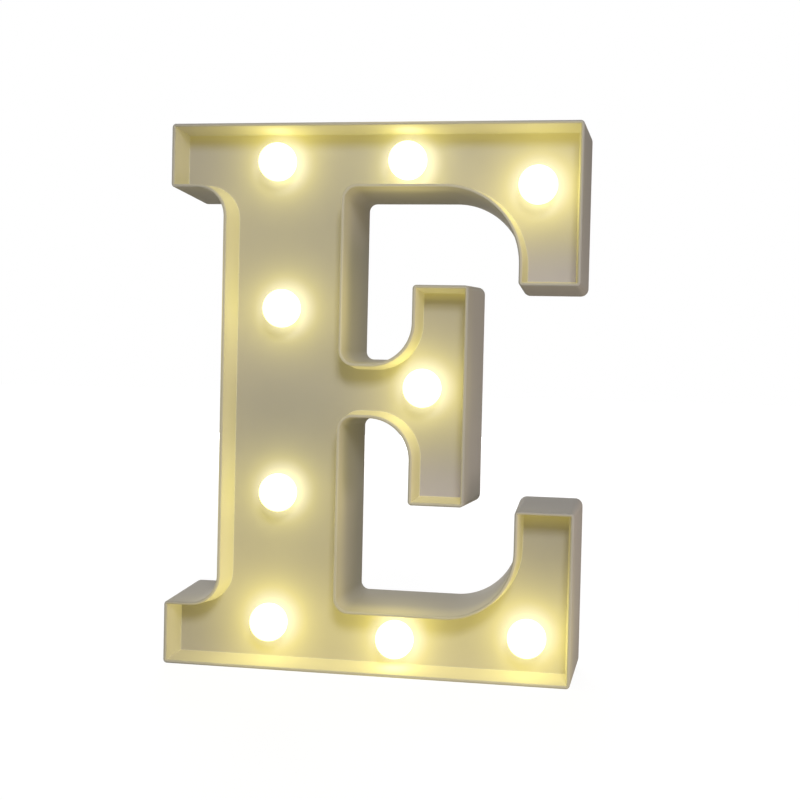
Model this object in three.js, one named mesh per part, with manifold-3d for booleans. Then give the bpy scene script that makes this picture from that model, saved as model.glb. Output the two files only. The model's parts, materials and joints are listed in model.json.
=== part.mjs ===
// A battery-powered light-up letter E of moulded plastic, for a shelf or a wall.
// X runs to the reader's right, Y into the letter from its open front, Z up; millimetres.
// The origin is at the middle of the base, under the middle of the depth.

import * as THREE from 'three';
import { mergeVertices } from 'three/addons/utils/BufferGeometryUtils.js';
import Module from 'manifold-3d';

const wasm = await Module();
wasm.setup();

// Driving dimensions: the letter's outline, measured at its front rim.
const letterHeight = 220;
const letterWidth = 165.7;
const armHeight = 25.6;
const stemLeft = 22.2;
const stemWidth = 49.8;
const upperSerifWidth = 23.9;
const upperSerifHeight = 63.8;
const lowerSerifWidth = 23.1;
const lowerSerifHeight = 68.5;
const slabLeft = 100.2;
const slabWidth = 22.2;
const slabBottom = 69;
const slabHeight = 87.1;
const neckBottom = 103;
const neckHeight = 21.7;
const edgeRound = 1.5;
const bayRound = 5;
const serifBracket = 11.5;
const slabBracket = 16.5;
const upperBracket = 30;
const lowerBracket = 27;

// The moulded front shell.
const wallLean = 1.7;
const rimWidth = 1.25;
const rimRound = 0.5;
const pocketDepth = 14.7;
const pocketTaper = 1;
const floorThickness = 1.8;
const wallThickness = 2.2;
const rebateWall = 1.2;
const smallestRound = 0.25;

// The back cover, its screw cups and the posts in the shell that take the screws.
const coverThickness = 1.8;
const coverGap = 0.3;
const cupRadius = 4.3;
const cupDepth = 6;
const cupFloor = 1.2;
const cupBoreRadius = 3.1;
const postRadius = 3.2;
const pilotRadius = 1.35;
const pilotDepth = 10;
const screwEndInset = 9;
const screwTipInset = 7.5;
const screwCornerInset = 8.5;

// The self-tapping screws.
const screwRadius = 1.1;
const screwHeadRadius = 2.5;
const screwHeadHeight = 1.7;
const screwLength = 8;
const recessWidth = 0.7;
const recessLength = 3;
const recessDepth = 0.9;

// The ball bulbs and the lamps inside their necks.
const bulbRadius = 7.8;
const bulbWall = 1.2;
const neckRadius = 4.4;
const neckLength = 5;
const barbReach = 0.6;
const barbLength = 0.8;
const holeGap = 0.25;
const lampRadius = 2.5;
const lampLength = 7.2;
const lampFlangeRadius = 2.9;
const lampFlangeLength = 1;
const lampBoreGap = 0.25;
const leadSpacing = 2.54;
const leadWidth = 0.5;
const leadLength = 2;

// The wiring behind the pocket's floor.
const wireRadius = 0.6;
const wireRoom = 1;
const loopShare = 0.2;
const resistorRadius = 1.2;
const resistorLength = 6.4;
const resistorWaistShare = 0.8;
const resistorEndShare = 0.55;
const resistorWaistLengthShare = 0.35;
const resistorLead = 2.5;
const resistorLeadRadius = 0.3;
const resistorShare = 0.5;
const returnShare = 0.82;
const leadStub = 2.4;

// The two cells, their contacts and the battery box moulded on the cover.
const cellRadius = 7.1;
const cellLength = 49.5;
const cellShoulder = 0.8;
const nubRadius = 2.6;
const nubLength = 1;
const cellGap = 0.8;
const cellRoom = 0.9;
const boxWall = 1.4;
const boxLedge = 0.8;
const boxLip = 2.6;
const boxRibHeight = 3.5;
const boxRibWidth = 1.2;
const contactThickness = 0.4;
const contactWidth = 9;
const contactHeight = 10;
const dimpleRadius = 2.2;
const dimpleHeight = 0.8;
const springLength = 4.6;
const springBaseRadius = 4.2;
const springTipRadius = 2.4;
const springWireRadius = 0.35;
const springTurns = 3.5;
const tabWidth = 3;
const tabReach = 4;

// The battery door.
const doorThickness = 1.5;
const doorGap = 0.3;
const doorTabWidth = 2.6;
const doorTabReach = 1.6;
const doorTabThickness = 1.1;
const latchWidth = 9;
const latchLength = 6;
const latchSlot = 0.8;
const thumbRadius = 9;
const thumbDepth = 0.6;

// The slide switch.
const switchRise = 20.6;
const switchLength = 13;
const switchWidth = 6.4;
const switchDepth = 5;
const switchBracketThickness = 0.6;
const switchEar = 5;
const switchScrewRadius = 0.9;
const switchScrewHeadRadius = 1.7;
const switchScrewHeadHeight = 1;
const switchPostRadius = 2.2;
const knobLength = 4;
const knobWidth = 4;
const knobTravel = 4;
const knobFlange = 1.2;
const knobGap = 0.35;
const knobRib = 0.35;
const pinSpacing = 4;
const pinLength = 2.6;

// The keyholes that hang the letter on screw heads.
const keyholeHeadRadius = 4;
const keyholeSlotRadius = 2;
const keyholeRise = 7;
const keyholeDrop = 13;

// Clearances and fineness shared by all pieces.
const seatGap = 0.3;
const overrun = 2;
const mergeTolerance = 0.0001;
const sharpSteps = 3;
const softSteps = 4;
const bracketSteps = 8;
const ballSteps = 7;
const roundSides = 14;
const bulbSides = 16;
const smallSides = 8;
const wireSides = 6;
const springSides = 5;
const stepsPerTurn = 8;
const spanSteps = 4;

const stemRight = stemLeft + stemWidth;
const stemMiddle = stemLeft + stemWidth / 2;
const armTop = letterHeight - armHeight;
const slabRight = slabLeft + slabWidth;
const slabTop = slabBottom + slabHeight;
const neckTop = neckBottom + neckHeight;
const upperSerifLeft = letterWidth - upperSerifWidth;
const lowerSerifLeft = letterWidth - lowerSerifWidth;
const upperSerifBottom = letterHeight - upperSerifHeight;
const neckMiddle = neckBottom + neckHeight / 2;

// The stack of parts through the stem's depth, from the pocket's floor to the back, which
// sets how deep the letter is.
const floorBack = pocketDepth + floorThickness;
const bulbShoulder = Math.sqrt(bulbRadius ** 2 - neckRadius ** 2);
const bulbCentre = pocketDepth - seatGap - bulbShoulder;
const neckBack = bulbCentre + bulbShoulder + neckLength;
const lampFlangeFront = neckBack + seatGap;
const lampBack = lampFlangeFront + lampFlangeLength;
const leadBack = lampBack + leadLength;
const wireDepth = leadBack + seatGap + wireRadius;
const boxFloor = wireDepth + wireRadius + wireRoom + boxWall;
const cellDepth = boxFloor + seatGap + cellRadius;
const letterDepth = cellDepth + cellRadius + cellRoom + doorThickness;
const coverFront = letterDepth - coverThickness;

// Where each bulb stands: shares across and up the stretch of the letter that carries it.
const bulbShares = {
  top_right: [0.257, 0.075],
  top_middle: [0.341, 0.452],
  top_left: [0.402, 0.437],
  stem_upper: [0.46, 0.715],
  middle: [0.158, 0.567],
  stem_lower: [0.46, 0.27],
  bottom_left: [0.402, 0.692],
  bottom_middle: [0.323, 0.533],
  bottom_right: [0.233, 0.67],
};
const bulbStretches = {
  top_right: [upperSerifLeft, letterWidth, armTop, letterHeight],
  top_middle: [stemRight, upperSerifLeft, armTop, letterHeight],
  top_left: [stemLeft, stemRight, armTop, letterHeight],
  stem_upper: [stemLeft, stemRight, armHeight, armTop],
  middle: [slabLeft, slabRight, neckBottom, neckTop],
  stem_lower: [stemLeft, stemRight, armHeight, armTop],
  bottom_left: [stemLeft, stemRight, 0, armHeight],
  bottom_middle: [stemRight, lowerSerifLeft, 0, armHeight],
  bottom_right: [lowerSerifLeft, letterWidth, 0, armHeight],
};
const bulbPlaces = Object.fromEntries(
  Object.entries(bulbShares).map(([name, [across, up]]) => {
    const [left, right, low, high] = bulbStretches[name];
    return [name, new THREE.Vector2(left + across * (right - left), low + up * (high - low))];
  }),
);

const white = new THREE.MeshStandardMaterial({ color: 0xe9e4d8, roughness: 0.38, metalness: 0 });
const milky = new THREE.MeshStandardMaterial({ color: 0xfff3d6, roughness: 0.25, metalness: 0 });
const clearResin = new THREE.MeshStandardMaterial({ color: 0xfff2c0, roughness: 0.15, metalness: 0 });
const steel = new THREE.MeshStandardMaterial({ color: 0xb9bcc0, roughness: 0.35, metalness: 1 });
const redSleeve = new THREE.MeshStandardMaterial({ color: 0xa32020, roughness: 0.5, metalness: 0 });
const blackSleeve = new THREE.MeshStandardMaterial({ color: 0x1b1b1d, roughness: 0.5, metalness: 0 });
const sandResin = new THREE.MeshStandardMaterial({ color: 0xc8a878, roughness: 0.45, metalness: 0 });
const cellWrap = new THREE.MeshStandardMaterial({ color: 0x2d4a6b, roughness: 0.35, metalness: 0.2 });

// A closed solid from any watertight geometry, with its shared corners merged.
function toSolid(geometry) {
  const bare = geometry.clone();
  bare.deleteAttribute('normal');
  bare.deleteAttribute('uv');
  const merged = mergeVertices(bare, mergeTolerance);
  const index = merged.index.array;
  const kept = [];
  for (let i = 0; i < index.length; i += 3) {
    const [a, b, c] = [index[i], index[i + 1], index[i + 2]];
    if (a !== b && b !== c && c !== a) {
      kept.push(a, b, c);
    }
  }
  const vertProperties = merged.attributes.position.array;
  return new wasm.Manifold(new wasm.Mesh({ numProp: 3, vertProperties, triVerts: Uint32Array.from(kept) }));
}

// A named mesh of a solid, ready for the group.
function piece(name, solid, material) {
  const { vertProperties, triVerts } = solid.getMesh();
  const geometry = new THREE.BufferGeometry();
  geometry.setAttribute('position', new THREE.BufferAttribute(Float32Array.from(vertProperties), 3));
  geometry.setIndex(new THREE.BufferAttribute(Uint32Array.from(triVerts), 1));
  geometry.computeVertexNormals();
  const mesh = new THREE.Mesh(geometry, material);
  mesh.name = name;
  return mesh;
}

function joined(solids) {
  return solids.reduce((whole, next) => whole.add(next));
}

function cutBy(solid, cuts) {
  return cuts.reduce((rest, cut) => rest.subtract(cut), solid);
}

// A block between two corners.
function block(x0, x1, y0, y1, z0, z1) {
  const geometry = new THREE.BoxGeometry(x1 - x0, y1 - y0, z1 - z0);
  geometry.translate((x0 + x1) / 2, (y0 + y1) / 2, (z0 + z1) / 2);
  return toSolid(geometry);
}

// A round post along the letter's depth.
function post(x, z, radius, y0, y1, sides = roundSides) {
  const geometry = new THREE.CylinderGeometry(radius, radius, y1 - y0, sides);
  geometry.translate(x, (y0 + y1) / 2, z);
  return toSolid(geometry);
}

// A turned solid whose profile is [radius, depth] pairs from the front of its axis to the back.
function turned(profile, sides) {
  const points = profile.map(([radius, depth]) => new THREE.Vector2(radius, depth));
  return toSolid(new THREE.LatheGeometry(points, sides));
}

// A flat outline extruded along the letter's depth.
function plate(shape, y0, y1, curveSegments = softSteps) {
  const geometry = new THREE.ExtrudeGeometry(shape, { depth: y1 - y0, bevelEnabled: false, curveSegments });
  geometry.rotateX(Math.PI / 2);
  geometry.translate(0, y1, 0);
  return toSolid(geometry);
}

function rectangle(x0, x1, z0, z1) {
  const shape = new THREE.Shape();
  shape.moveTo(x0, z0);
  shape.lineTo(x1, z0);
  shape.lineTo(x1, z1);
  shape.lineTo(x0, z1);
  shape.closePath();
  return shape;
}

// The letter's corners, anticlockwise from the front: across, up, rounding and its facets.
function letterCorners() {
  return [
    [0, 0, edgeRound, sharpSteps],
    [letterWidth, 0, edgeRound, sharpSteps],
    [letterWidth, lowerSerifHeight, edgeRound, sharpSteps],
    [lowerSerifLeft, lowerSerifHeight, edgeRound, sharpSteps],
    [lowerSerifLeft, armHeight, lowerBracket, bracketSteps],
    [stemRight, armHeight, bayRound, softSteps],
    [stemRight, neckBottom, bayRound, softSteps],
    [slabLeft, neckBottom, slabBracket, bracketSteps],
    [slabLeft, slabBottom, edgeRound, sharpSteps],
    [slabRight, slabBottom, edgeRound, sharpSteps],
    [slabRight, slabTop, edgeRound, sharpSteps],
    [slabLeft, slabTop, edgeRound, sharpSteps],
    [slabLeft, neckTop, slabBracket, bracketSteps],
    [stemRight, neckTop, bayRound, softSteps],
    [stemRight, armTop, bayRound, softSteps],
    [upperSerifLeft, armTop, upperBracket, bracketSteps],
    [upperSerifLeft, upperSerifBottom, edgeRound, sharpSteps],
    [letterWidth, upperSerifBottom, edgeRound, sharpSteps],
    [letterWidth, letterHeight, edgeRound, sharpSteps],
    [0, letterHeight, edgeRound, sharpSteps],
    [0, armTop, edgeRound, sharpSteps],
    [stemLeft, armTop, serifBracket, bracketSteps],
    [stemLeft, armHeight, serifBracket, bracketSteps],
    [0, armHeight, edgeRound, sharpSteps],
  ];
}

// The outline at one depth. The walls lean outwards with depth, all but the flat base, and
// inset moves every edge inwards. Roundings grow or shrink with the edges, so walls keep width.
function outlineRing(depth, inset) {
  const lean = wallLean * (depth / letterDepth);
  const corners = letterCorners();
  const edgeShift = (from, to) => (from[1] === 0 && to[1] === 0 ? -inset : lean - inset);
  return corners.flatMap((here, i) => {
    const before = corners[(i + corners.length - 1) % corners.length];
    const after = corners[(i + 1) % corners.length];
    const arriving = new THREE.Vector2(here[0] - before[0], here[1] - before[1]).normalize();
    const leaving = new THREE.Vector2(after[0] - here[0], after[1] - here[1]).normalize();
    const outwards = (edge) => new THREE.Vector2(edge.y, -edge.x);
    const apex = new THREE.Vector2(here[0], here[1])
      .addScaledVector(outwards(arriving), edgeShift(before, here))
      .addScaledVector(outwards(leaving), edgeShift(here, after));
    const swell = arriving.cross(leaving) > 0 ? lean - inset : inset - lean;
    const radius = Math.max(here[2] + swell, smallestRound);
    const centre = apex.clone().addScaledVector(arriving, -radius).addScaledVector(leaving, radius);
    return Array.from({ length: here[3] + 1 }, (_, k) => {
      const turn = (Math.PI / 2) * (k / here[3]);
      return centre
        .clone()
        .addScaledVector(leaving, -radius * Math.cos(turn))
        .addScaledVector(arriving, radius * Math.sin(turn));
    });
  });
}

// A solid lofted through outlines given front to back as [depth, inset] pairs. A third value
// is the depth whose lean the outline takes, where a cut runs on past the shell.
function loftedLetter(stations) {
  const rings = stations.map(([depth, inset, leanDepth = depth]) => {
    return outlineRing(leanDepth, inset).map((p) => new THREE.Vector3(p.x, depth, p.y));
  });
  const count = rings[0].length;
  const triangles = [];
  for (let r = 0; r + 1 < rings.length; r += 1) {
    for (let k = 0; k < count; k += 1) {
      const next = (k + 1) % count;
      const [a, b] = [rings[r][k], rings[r][next]];
      const [d, c] = [rings[r + 1][k], rings[r + 1][next]];
      triangles.push(a, d, c, a, c, b);
    }
  }
  const cap = (ring, front) => {
    const flat = ring.map((p) => new THREE.Vector2(p.x, p.z));
    for (const [a, b, c] of THREE.ShapeUtils.triangulateShape(flat, [])) {
      triangles.push(ring[a], ring[front ? b : c], ring[front ? c : b]);
    }
  };
  cap(rings[0], true);
  cap(rings[rings.length - 1], false);
  return toSolid(new THREE.BufferGeometry().setFromPoints(triangles));
}

// A tube of even thickness along a curve through points.
function tube(points, radius, steps, sides = wireSides) {
  const section = new THREE.Shape();
  for (let k = 0; k < sides; k += 1) {
    const turn = (2 * Math.PI * k) / sides;
    const place = [radius * Math.cos(turn), radius * Math.sin(turn)];
    if (k === 0) {
      section.moveTo(...place);
    } else {
      section.lineTo(...place);
    }
  }
  section.closePath();
  const extrudePath = new THREE.CatmullRomCurve3(points, false, 'centripetal');
  return toSolid(new THREE.ExtrudeGeometry(section, { steps, extrudePath, bevelEnabled: false }));
}

// Where the cover screws stand: near the ends of the arms, serifs and slab.
function screwPlaces() {
  const slabMiddle = slabLeft + slabWidth / 2;
  const betweenBottomBulbs = (bulbPlaces.bottom_middle.x + bulbPlaces.bottom_right.x) / 2;
  return {
    top_left: [screwEndInset, letterHeight - armHeight / 2],
    top_right: [letterWidth - screwEndInset, letterHeight - screwCornerInset],
    upper_serif: [letterWidth - upperSerifWidth / 2, upperSerifBottom + screwTipInset],
    slab_top: [slabMiddle, slabTop - screwTipInset],
    slab_bottom: [slabMiddle, slabBottom + screwTipInset],
    lower_serif: [letterWidth - lowerSerifWidth / 2, lowerSerifHeight - screwTipInset],
    bottom_right: [betweenBottomBulbs, screwCornerInset],
    bottom_left: [screwEndInset, armHeight / 2],
  };
}

// The front shell: leaning outer walls, a rounded rim, the recessed floor that carries the
// bulbs, an open back with a rebate for the cover, and posts for its screws.
function frontShell() {
  const outside = loftedLetter([
    [0, rimRound],
    [rimRound * (1 - Math.SQRT1_2), rimRound * (1 - Math.SQRT1_2)],
    [rimRound, 0],
    [letterDepth - rimRound, 0],
    [letterDepth, rimRound],
  ]);
  const pocket = loftedLetter([
    [-overrun, rimWidth - rimRound, 0],
    [0, rimWidth - rimRound, 0],
    [rimRound, rimWidth, 0],
    [pocketDepth - rimRound, rimWidth + pocketTaper, 0],
    [pocketDepth, rimWidth + pocketTaper + rimRound, 0],
  ]);
  const cavity = loftedLetter([
    [floorBack, wallThickness],
    [letterDepth + overrun, wallThickness, letterDepth],
  ]);
  const rebate = loftedLetter([
    [coverFront - seatGap, rebateWall],
    [letterDepth + overrun, rebateWall, letterDepth],
  ]);
  const postBack = letterDepth - cupDepth - seatGap;
  const posts = [];
  const pilots = [];
  for (const [x, z] of Object.values(screwPlaces())) {
    posts.push(post(x, z, postRadius, pocketDepth + floorThickness / 2, postBack, smallSides));
    pilots.push(post(x, z, pilotRadius, postBack - pilotDepth, postBack + overrun, smallSides));
  }
  const holes = Object.values(bulbPlaces).map(({ x, y: z }) => {
    return post(x, z, neckRadius + holeGap, pocketDepth - overrun, floorBack + overrun, bulbSides);
  });
  const hollow = cutBy(outside, [pocket, cavity, rebate]);
  return piece('front_shell', cutBy(joined([hollow, ...posts]), [...pilots, ...holes]), white);
}

// The battery box: two cells side by side, their contacts at its ends, open to the back.
const cellSpacing = 2 * cellRadius + cellGap;
const boxInnerWidth = cellSpacing + 2 * cellRadius + 2 * seatGap;
const boxCentre = letterHeight / 2;
const springEnd = contactThickness + springLength + 2 * seatGap;
const nubEnd = contactThickness + dimpleHeight + 2 * seatGap;
const boxInnerLength = springEnd + cellLength + nubLength + nubEnd + seatGap;
const boxLeft = stemMiddle - boxInnerWidth / 2;
const boxRight = stemMiddle + boxInnerWidth / 2;
const boxBottom = boxCentre - boxInnerLength / 2;
const boxTop = boxCentre + boxInnerLength / 2;
const doorBottom = boxBottom + boxLip;
const doorTop = boxTop;
const leftCell = stemMiddle - cellSpacing / 2;
const rightCell = stemMiddle + cellSpacing / 2;
const switchCentre = [stemMiddle, boxTop + switchRise];
const switchScrewSpacing = switchLength + switchEar;
const switchBracketLength = switchScrewSpacing + switchEar;
const bracketBack = coverFront - knobFlange - seatGap;
const terminalTabDepth = boxFloor + contactHeight / 2;

function keyholeCut(x) {
  const z = letterHeight - keyholeDrop;
  const head = post(x, z, keyholeHeadRadius, coverFront - overrun, letterDepth + overrun);
  const tip = post(x, z + keyholeRise, keyholeSlotRadius, coverFront - overrun, letterDepth + overrun);
  const slot = block(
    x - keyholeSlotRadius,
    x + keyholeSlotRadius,
    coverFront - overrun,
    letterDepth + overrun,
    z,
    z + keyholeRise,
  );
  return joined([head, slot, tip]);
}

// Where the keyholes lie: halfway between the bulbs of the top arm.
function keyholePlaces() {
  const { top_left: left, top_middle: middle, top_right: right } = bulbPlaces;
  return [(left.x + middle.x) / 2, (middle.x + right.x) / 2];
}

// The back cover: a plate in the shell's rebate with screw cups, keyholes, a window for the
// switch knob and the battery box.
function backCover() {
  const plateBody = loftedLetter([
    [coverFront, rebateWall + coverGap, letterDepth],
    [letterDepth, rebateWall + coverGap],
  ]);
  const box = block(
    boxLeft - boxWall,
    boxRight + boxWall,
    boxFloor - boxWall,
    coverFront + coverThickness / 2,
    boxBottom - boxWall,
    boxTop + boxWall,
  );
  const boxHollow = block(boxLeft, boxRight, boxFloor, coverFront, boxBottom, boxTop);
  const rib = block(
    stemMiddle - boxRibWidth / 2,
    stemMiddle + boxRibWidth / 2,
    boxFloor - boxWall / 2,
    boxFloor + boxRibHeight,
    doorBottom + springLength,
    doorTop - springLength,
  );
  const doorway = block(
    boxLeft - boxLedge,
    boxRight + boxLedge,
    coverFront - mergeTolerance,
    letterDepth + overrun,
    doorBottom,
    doorTop + boxLedge,
  );
  const tabSlots = [leftCell, rightCell].map((x) => {
    return block(
      x - tabWidth / 2 - seatGap,
      x + tabWidth / 2 + seatGap,
      terminalTabDepth - contactThickness / 2 - seatGap,
      terminalTabDepth + contactThickness / 2 + seatGap,
      boxTop - boxWall,
      boxTop + boxWall + overrun,
    );
  });
  const [switchX, switchZ] = switchCentre;
  const windowReach = knobLength / 2 + knobTravel / 2 + knobGap;
  const window = block(
    switchX - windowReach,
    switchX + windowReach,
    coverFront - overrun,
    letterDepth + overrun,
    switchZ - knobWidth / 2 - knobGap,
    switchZ + knobWidth / 2 + knobGap,
  );
  const switchPosts = [];
  const switchPilots = [];
  for (const side of [-1, 1]) {
    const x = switchX + (side * switchScrewSpacing) / 2;
    const postBack = coverFront + coverThickness / 2;
    const pilotRadiusHere = switchScrewRadius + holeGap;
    switchPosts.push(post(x, switchZ, switchPostRadius, bracketBack + seatGap, postBack, smallSides));
    switchPilots.push(post(x, switchZ, pilotRadiusHere, bracketBack, postBack, smallSides));
  }
  const cups = [];
  const bores = [];
  for (const [x, z] of Object.values(screwPlaces())) {
    const cupFront = letterDepth - cupDepth;
    cups.push(post(x, z, cupRadius, cupFront, letterDepth));
    bores.push(post(x, z, cupBoreRadius, cupFront + cupFloor, letterDepth + overrun));
    bores.push(post(x, z, screwRadius + seatGap, cupFront - overrun, letterDepth + overrun, smallSides));
  }
  const solid = joined([plateBody, box, ...cups, ...switchPosts]);
  const hollow = cutBy(solid, [boxHollow, doorway, window, ...tabSlots, ...switchPilots, ...bores]);
  const hung = cutBy(hollow, keyholePlaces().map(keyholeCut));
  return piece('back_cover', hung.add(rib), white);
}

// The battery door: a plate flush in the cover, with two tabs that hook under the cover's lower
// lip, a sprung latch tongue at its top between two slots, and a shallow dish for the thumb.
function batteryDoor() {
  const left = boxLeft - boxLedge + doorGap;
  const right = boxRight + boxLedge - doorGap;
  const bottom = doorBottom + doorGap;
  const top = doorTop + boxLedge - doorGap;
  const inner = letterDepth - doorThickness;
  const panel = plate(rectangle(left, right, bottom, top), inner, letterDepth);
  const tabFront = coverFront - seatGap - doorTabThickness;
  const tabs = [-1, 1].flatMap((side) => {
    const x = stemMiddle + side * (boxInnerWidth / 2 - seatGap - doorTabWidth / 2);
    const [x0, x1] = [x - doorTabWidth / 2, x + doorTabWidth / 2];
    return [
      block(x0, x1, tabFront, inner + doorThickness / 2, bottom, bottom + doorTabThickness),
      block(x0, x1, tabFront, coverFront - seatGap, bottom - doorTabReach, bottom + doorTabThickness),
    ];
  });
  const slots = [-1, 1].map((side) => {
    const x = stemMiddle + (side * (latchWidth + latchSlot)) / 2;
    return block(
      x - latchSlot / 2,
      x + latchSlot / 2,
      inner - overrun,
      letterDepth + overrun,
      top - latchLength,
      top + overrun,
    );
  });
  const dish = toSolid(
    new THREE.SphereGeometry(thumbRadius, roundSides, smallSides).translate(
      stemMiddle,
      letterDepth + thumbRadius - thumbDepth,
      top - latchLength,
    ),
  );
  return piece('battery_door', cutBy(joined([panel, ...tabs]), [...slots, dish]), white);
}

// A milky ball cap. It seats on the floor's hole by its shoulder and snaps behind the floor
// by the barb round its neck; the lamp pushes into the neck from behind.
function bulb(name, place) {
  const boreRadius = lampRadius + lampBoreGap;
  const innerRadius = bulbRadius - bulbWall;
  const outerTurn = Math.PI - Math.asin(neckRadius / bulbRadius);
  const innerTurn = Math.PI - Math.asin(boreRadius / innerRadius);
  const arc = (radius, end, steps) => Array.from({ length: steps + 1 }, (_, k) => {
    const turn = (end * k) / steps;
    return [k === 0 ? 0 : radius * Math.sin(turn), bulbCentre - radius * Math.cos(turn)];
  });
  const barbFront = floorBack + seatGap;
  const profile = [
    ...arc(bulbRadius, outerTurn, ballSteps),
    [neckRadius, barbFront],
    [neckRadius + barbReach, barbFront],
    [neckRadius + barbReach, barbFront + barbLength],
    [neckRadius - barbReach, neckBack],
    [boreRadius, neckBack],
    ...arc(innerRadius, innerTurn, softSteps).reverse(),
  ];
  const solid = turned(profile, bulbSides).translate([place.x, 0, place.y]);
  return piece(`bulb_${name}`, solid, milky);
}

// A round-nosed lamp with its flange against the neck and two leads out of its back.
function lamp(name, place, direction) {
  const nose = lampBack - lampLength - lampFlangeLength;
  const profile = [
    [0, nose],
    [lampRadius * Math.SQRT1_2, nose + lampRadius * (1 - Math.SQRT1_2)],
    [lampRadius, nose + lampRadius],
    [lampRadius, lampFlangeFront],
    [lampFlangeRadius, lampFlangeFront],
    [lampFlangeRadius, lampBack],
    [0, lampBack],
  ];
  const leads = [-1, 1].map((side) => {
    const middle = (side * leadSpacing) / 2;
    return block(
      middle - leadWidth / 2,
      middle + leadWidth / 2,
      lampBack - lampFlangeLength / 2,
      leadBack,
      -leadWidth / 2,
      leadWidth / 2,
    );
  });
  const turn = Math.PI / 2 - Math.atan2(direction.y, direction.x);
  const solid = joined([turned(profile, smallSides), ...leads]);
  const mesh = piece(`lamp_${name}`, solid, clearResin);
  mesh.rotation.y = turn;
  mesh.position.set(place.x, 0, place.y);
  return mesh;
}

// The wiring's middle line: from the top right lamp along the top arm, down the stem with a
// loop out to the slab and back, and along the bottom arm.
const loopReach = neckHeight * loopShare;
const routePoints = [
  bulbPlaces.top_right,
  bulbPlaces.top_middle,
  bulbPlaces.top_left,
  bulbPlaces.stem_upper,
  new THREE.Vector2(stemMiddle + bayRound, neckTop),
  new THREE.Vector2(stemRight + bayRound, neckMiddle + loopReach),
  new THREE.Vector2(bulbPlaces.middle.x - 2 * loopReach, neckMiddle + loopReach),
  bulbPlaces.middle,
  new THREE.Vector2(bulbPlaces.middle.x - 2 * loopReach, neckMiddle - loopReach),
  new THREE.Vector2(stemRight + bayRound, neckMiddle - loopReach),
  new THREE.Vector2(stemMiddle + bayRound, neckBottom),
  bulbPlaces.stem_lower,
  bulbPlaces.bottom_left,
  bulbPlaces.bottom_middle,
  bulbPlaces.bottom_right,
];
const route = new THREE.CatmullRomCurve3(
  routePoints.map((p) => new THREE.Vector3(p.x, 0, p.y)),
  false,
  'centripetal',
);

// The route's heading at one of its points.
function headingAt(place) {
  const at = routePoints.indexOf(place) / (routePoints.length - 1);
  const tangent = route.getTangent(at);
  return new THREE.Vector2(tangent.x, tangent.z).normalize();
}

// One of the two wires that join all lamps: side is -1 or 1, to either side of the middle line.
function chainWire(name, side, material) {
  const samples = spanSteps * (routePoints.length - 1);
  const points = Array.from({ length: samples + 1 }, (_, k) => {
    const middle = route.getPoint(k / samples);
    const tangent = route.getTangent(k / samples);
    const across = new THREE.Vector2(tangent.z, -tangent.x).normalize();
    const shift = (side * leadSpacing) / 2;
    return new THREE.Vector3(middle.x + shift * across.x, wireDepth, middle.z + shift * across.y);
  });
  return piece(name, tube(points, wireRadius, samples), material);
}

// One cell: a round can with a shoulder and a nub, standing in the box with its nub up or down.
function cell(name, x, nubUp) {
  const profile = [
    [0, 0],
    [cellRadius - cellShoulder, 0],
    [cellRadius, cellShoulder],
    [cellRadius, cellLength - cellShoulder],
    [cellRadius - cellShoulder, cellLength],
    [nubRadius, cellLength],
    [nubRadius, cellLength + nubLength],
    [0, cellLength + nubLength],
  ];
  const mesh = piece(name, turned(profile, roundSides), cellWrap);
  mesh.rotation.x = nubUp ? Math.PI / 2 : -Math.PI / 2;
  mesh.position.set(x, cellDepth, nubUp ? boxBottom + springEnd : boxTop - springEnd);
  return mesh;
}

// A thin contact leaf against one end wall of the box, from one cell's place to another's.
function contactLeaf(x0, x1, atTop) {
  const wallFace = atTop ? boxTop - seatGap : boxBottom + seatGap;
  const cellFace = atTop ? wallFace - contactThickness : wallFace + contactThickness;
  const [low, high] = atTop ? [cellFace, wallFace] : [wallFace, cellFace];
  const [front, back] = [cellDepth - contactHeight / 2, cellDepth + contactHeight / 2];
  return block(x0 - contactWidth / 2, x1 + contactWidth / 2, front, back, low, high);
}

// The raised dimple on a leaf that presses on a cell's nub.
function contactDimple(x, atTop) {
  const height = dimpleHeight + contactThickness / 2;
  const dome = new THREE.CylinderGeometry(dimpleRadius / 2, dimpleRadius, height, smallSides);
  dome.rotateX(atTop ? -Math.PI / 2 : Math.PI / 2);
  const leafMiddle = seatGap + contactThickness / 2;
  const middle = leafMiddle + height / 2;
  dome.translate(x, cellDepth, atTop ? boxTop - middle : boxBottom + middle);
  return toSolid(dome);
}

// The tab that carries a top leaf out through the end wall to its wire.
function contactTab(x) {
  const [left, right] = [x - tabWidth / 2, x + tabWidth / 2];
  const [front, back] = [terminalTabDepth - contactThickness / 2, terminalTabDepth + contactThickness / 2];
  const leafFront = cellDepth - contactHeight / 2;
  const leafLow = boxTop - seatGap - contactThickness;
  return joined([
    block(left, right, front, leafFront + contactThickness, leafLow, boxTop - seatGap),
    block(left, right, front, back, leafLow, boxTop + tabReach),
  ]);
}

// A conical contact spring, one unbroken wire, wide at its plate and narrow at the cell.
function contactSpring(name, x, atTop) {
  const away = atTop ? -1 : 1;
  const plateFace = (atTop ? boxTop : boxBottom) + away * (contactThickness + seatGap);
  const low = plateFace + away * (seatGap / 2 + springWireRadius);
  const rise = springLength - 2 * springWireRadius - seatGap / 2;
  const steps = springTurns * stepsPerTurn;
  const points = Array.from({ length: steps + 1 }, (_, k) => {
    const share = k / steps;
    const turn = 2 * Math.PI * springTurns * share;
    const radius = springBaseRadius + (springTipRadius - springBaseRadius) * share;
    return new THREE.Vector3(
      x + radius * Math.cos(turn),
      cellDepth + radius * Math.sin(turn),
      low + away * rise * share,
    );
  });
  return piece(name, tube(points, springWireRadius, steps, springSides), steel);
}

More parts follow.
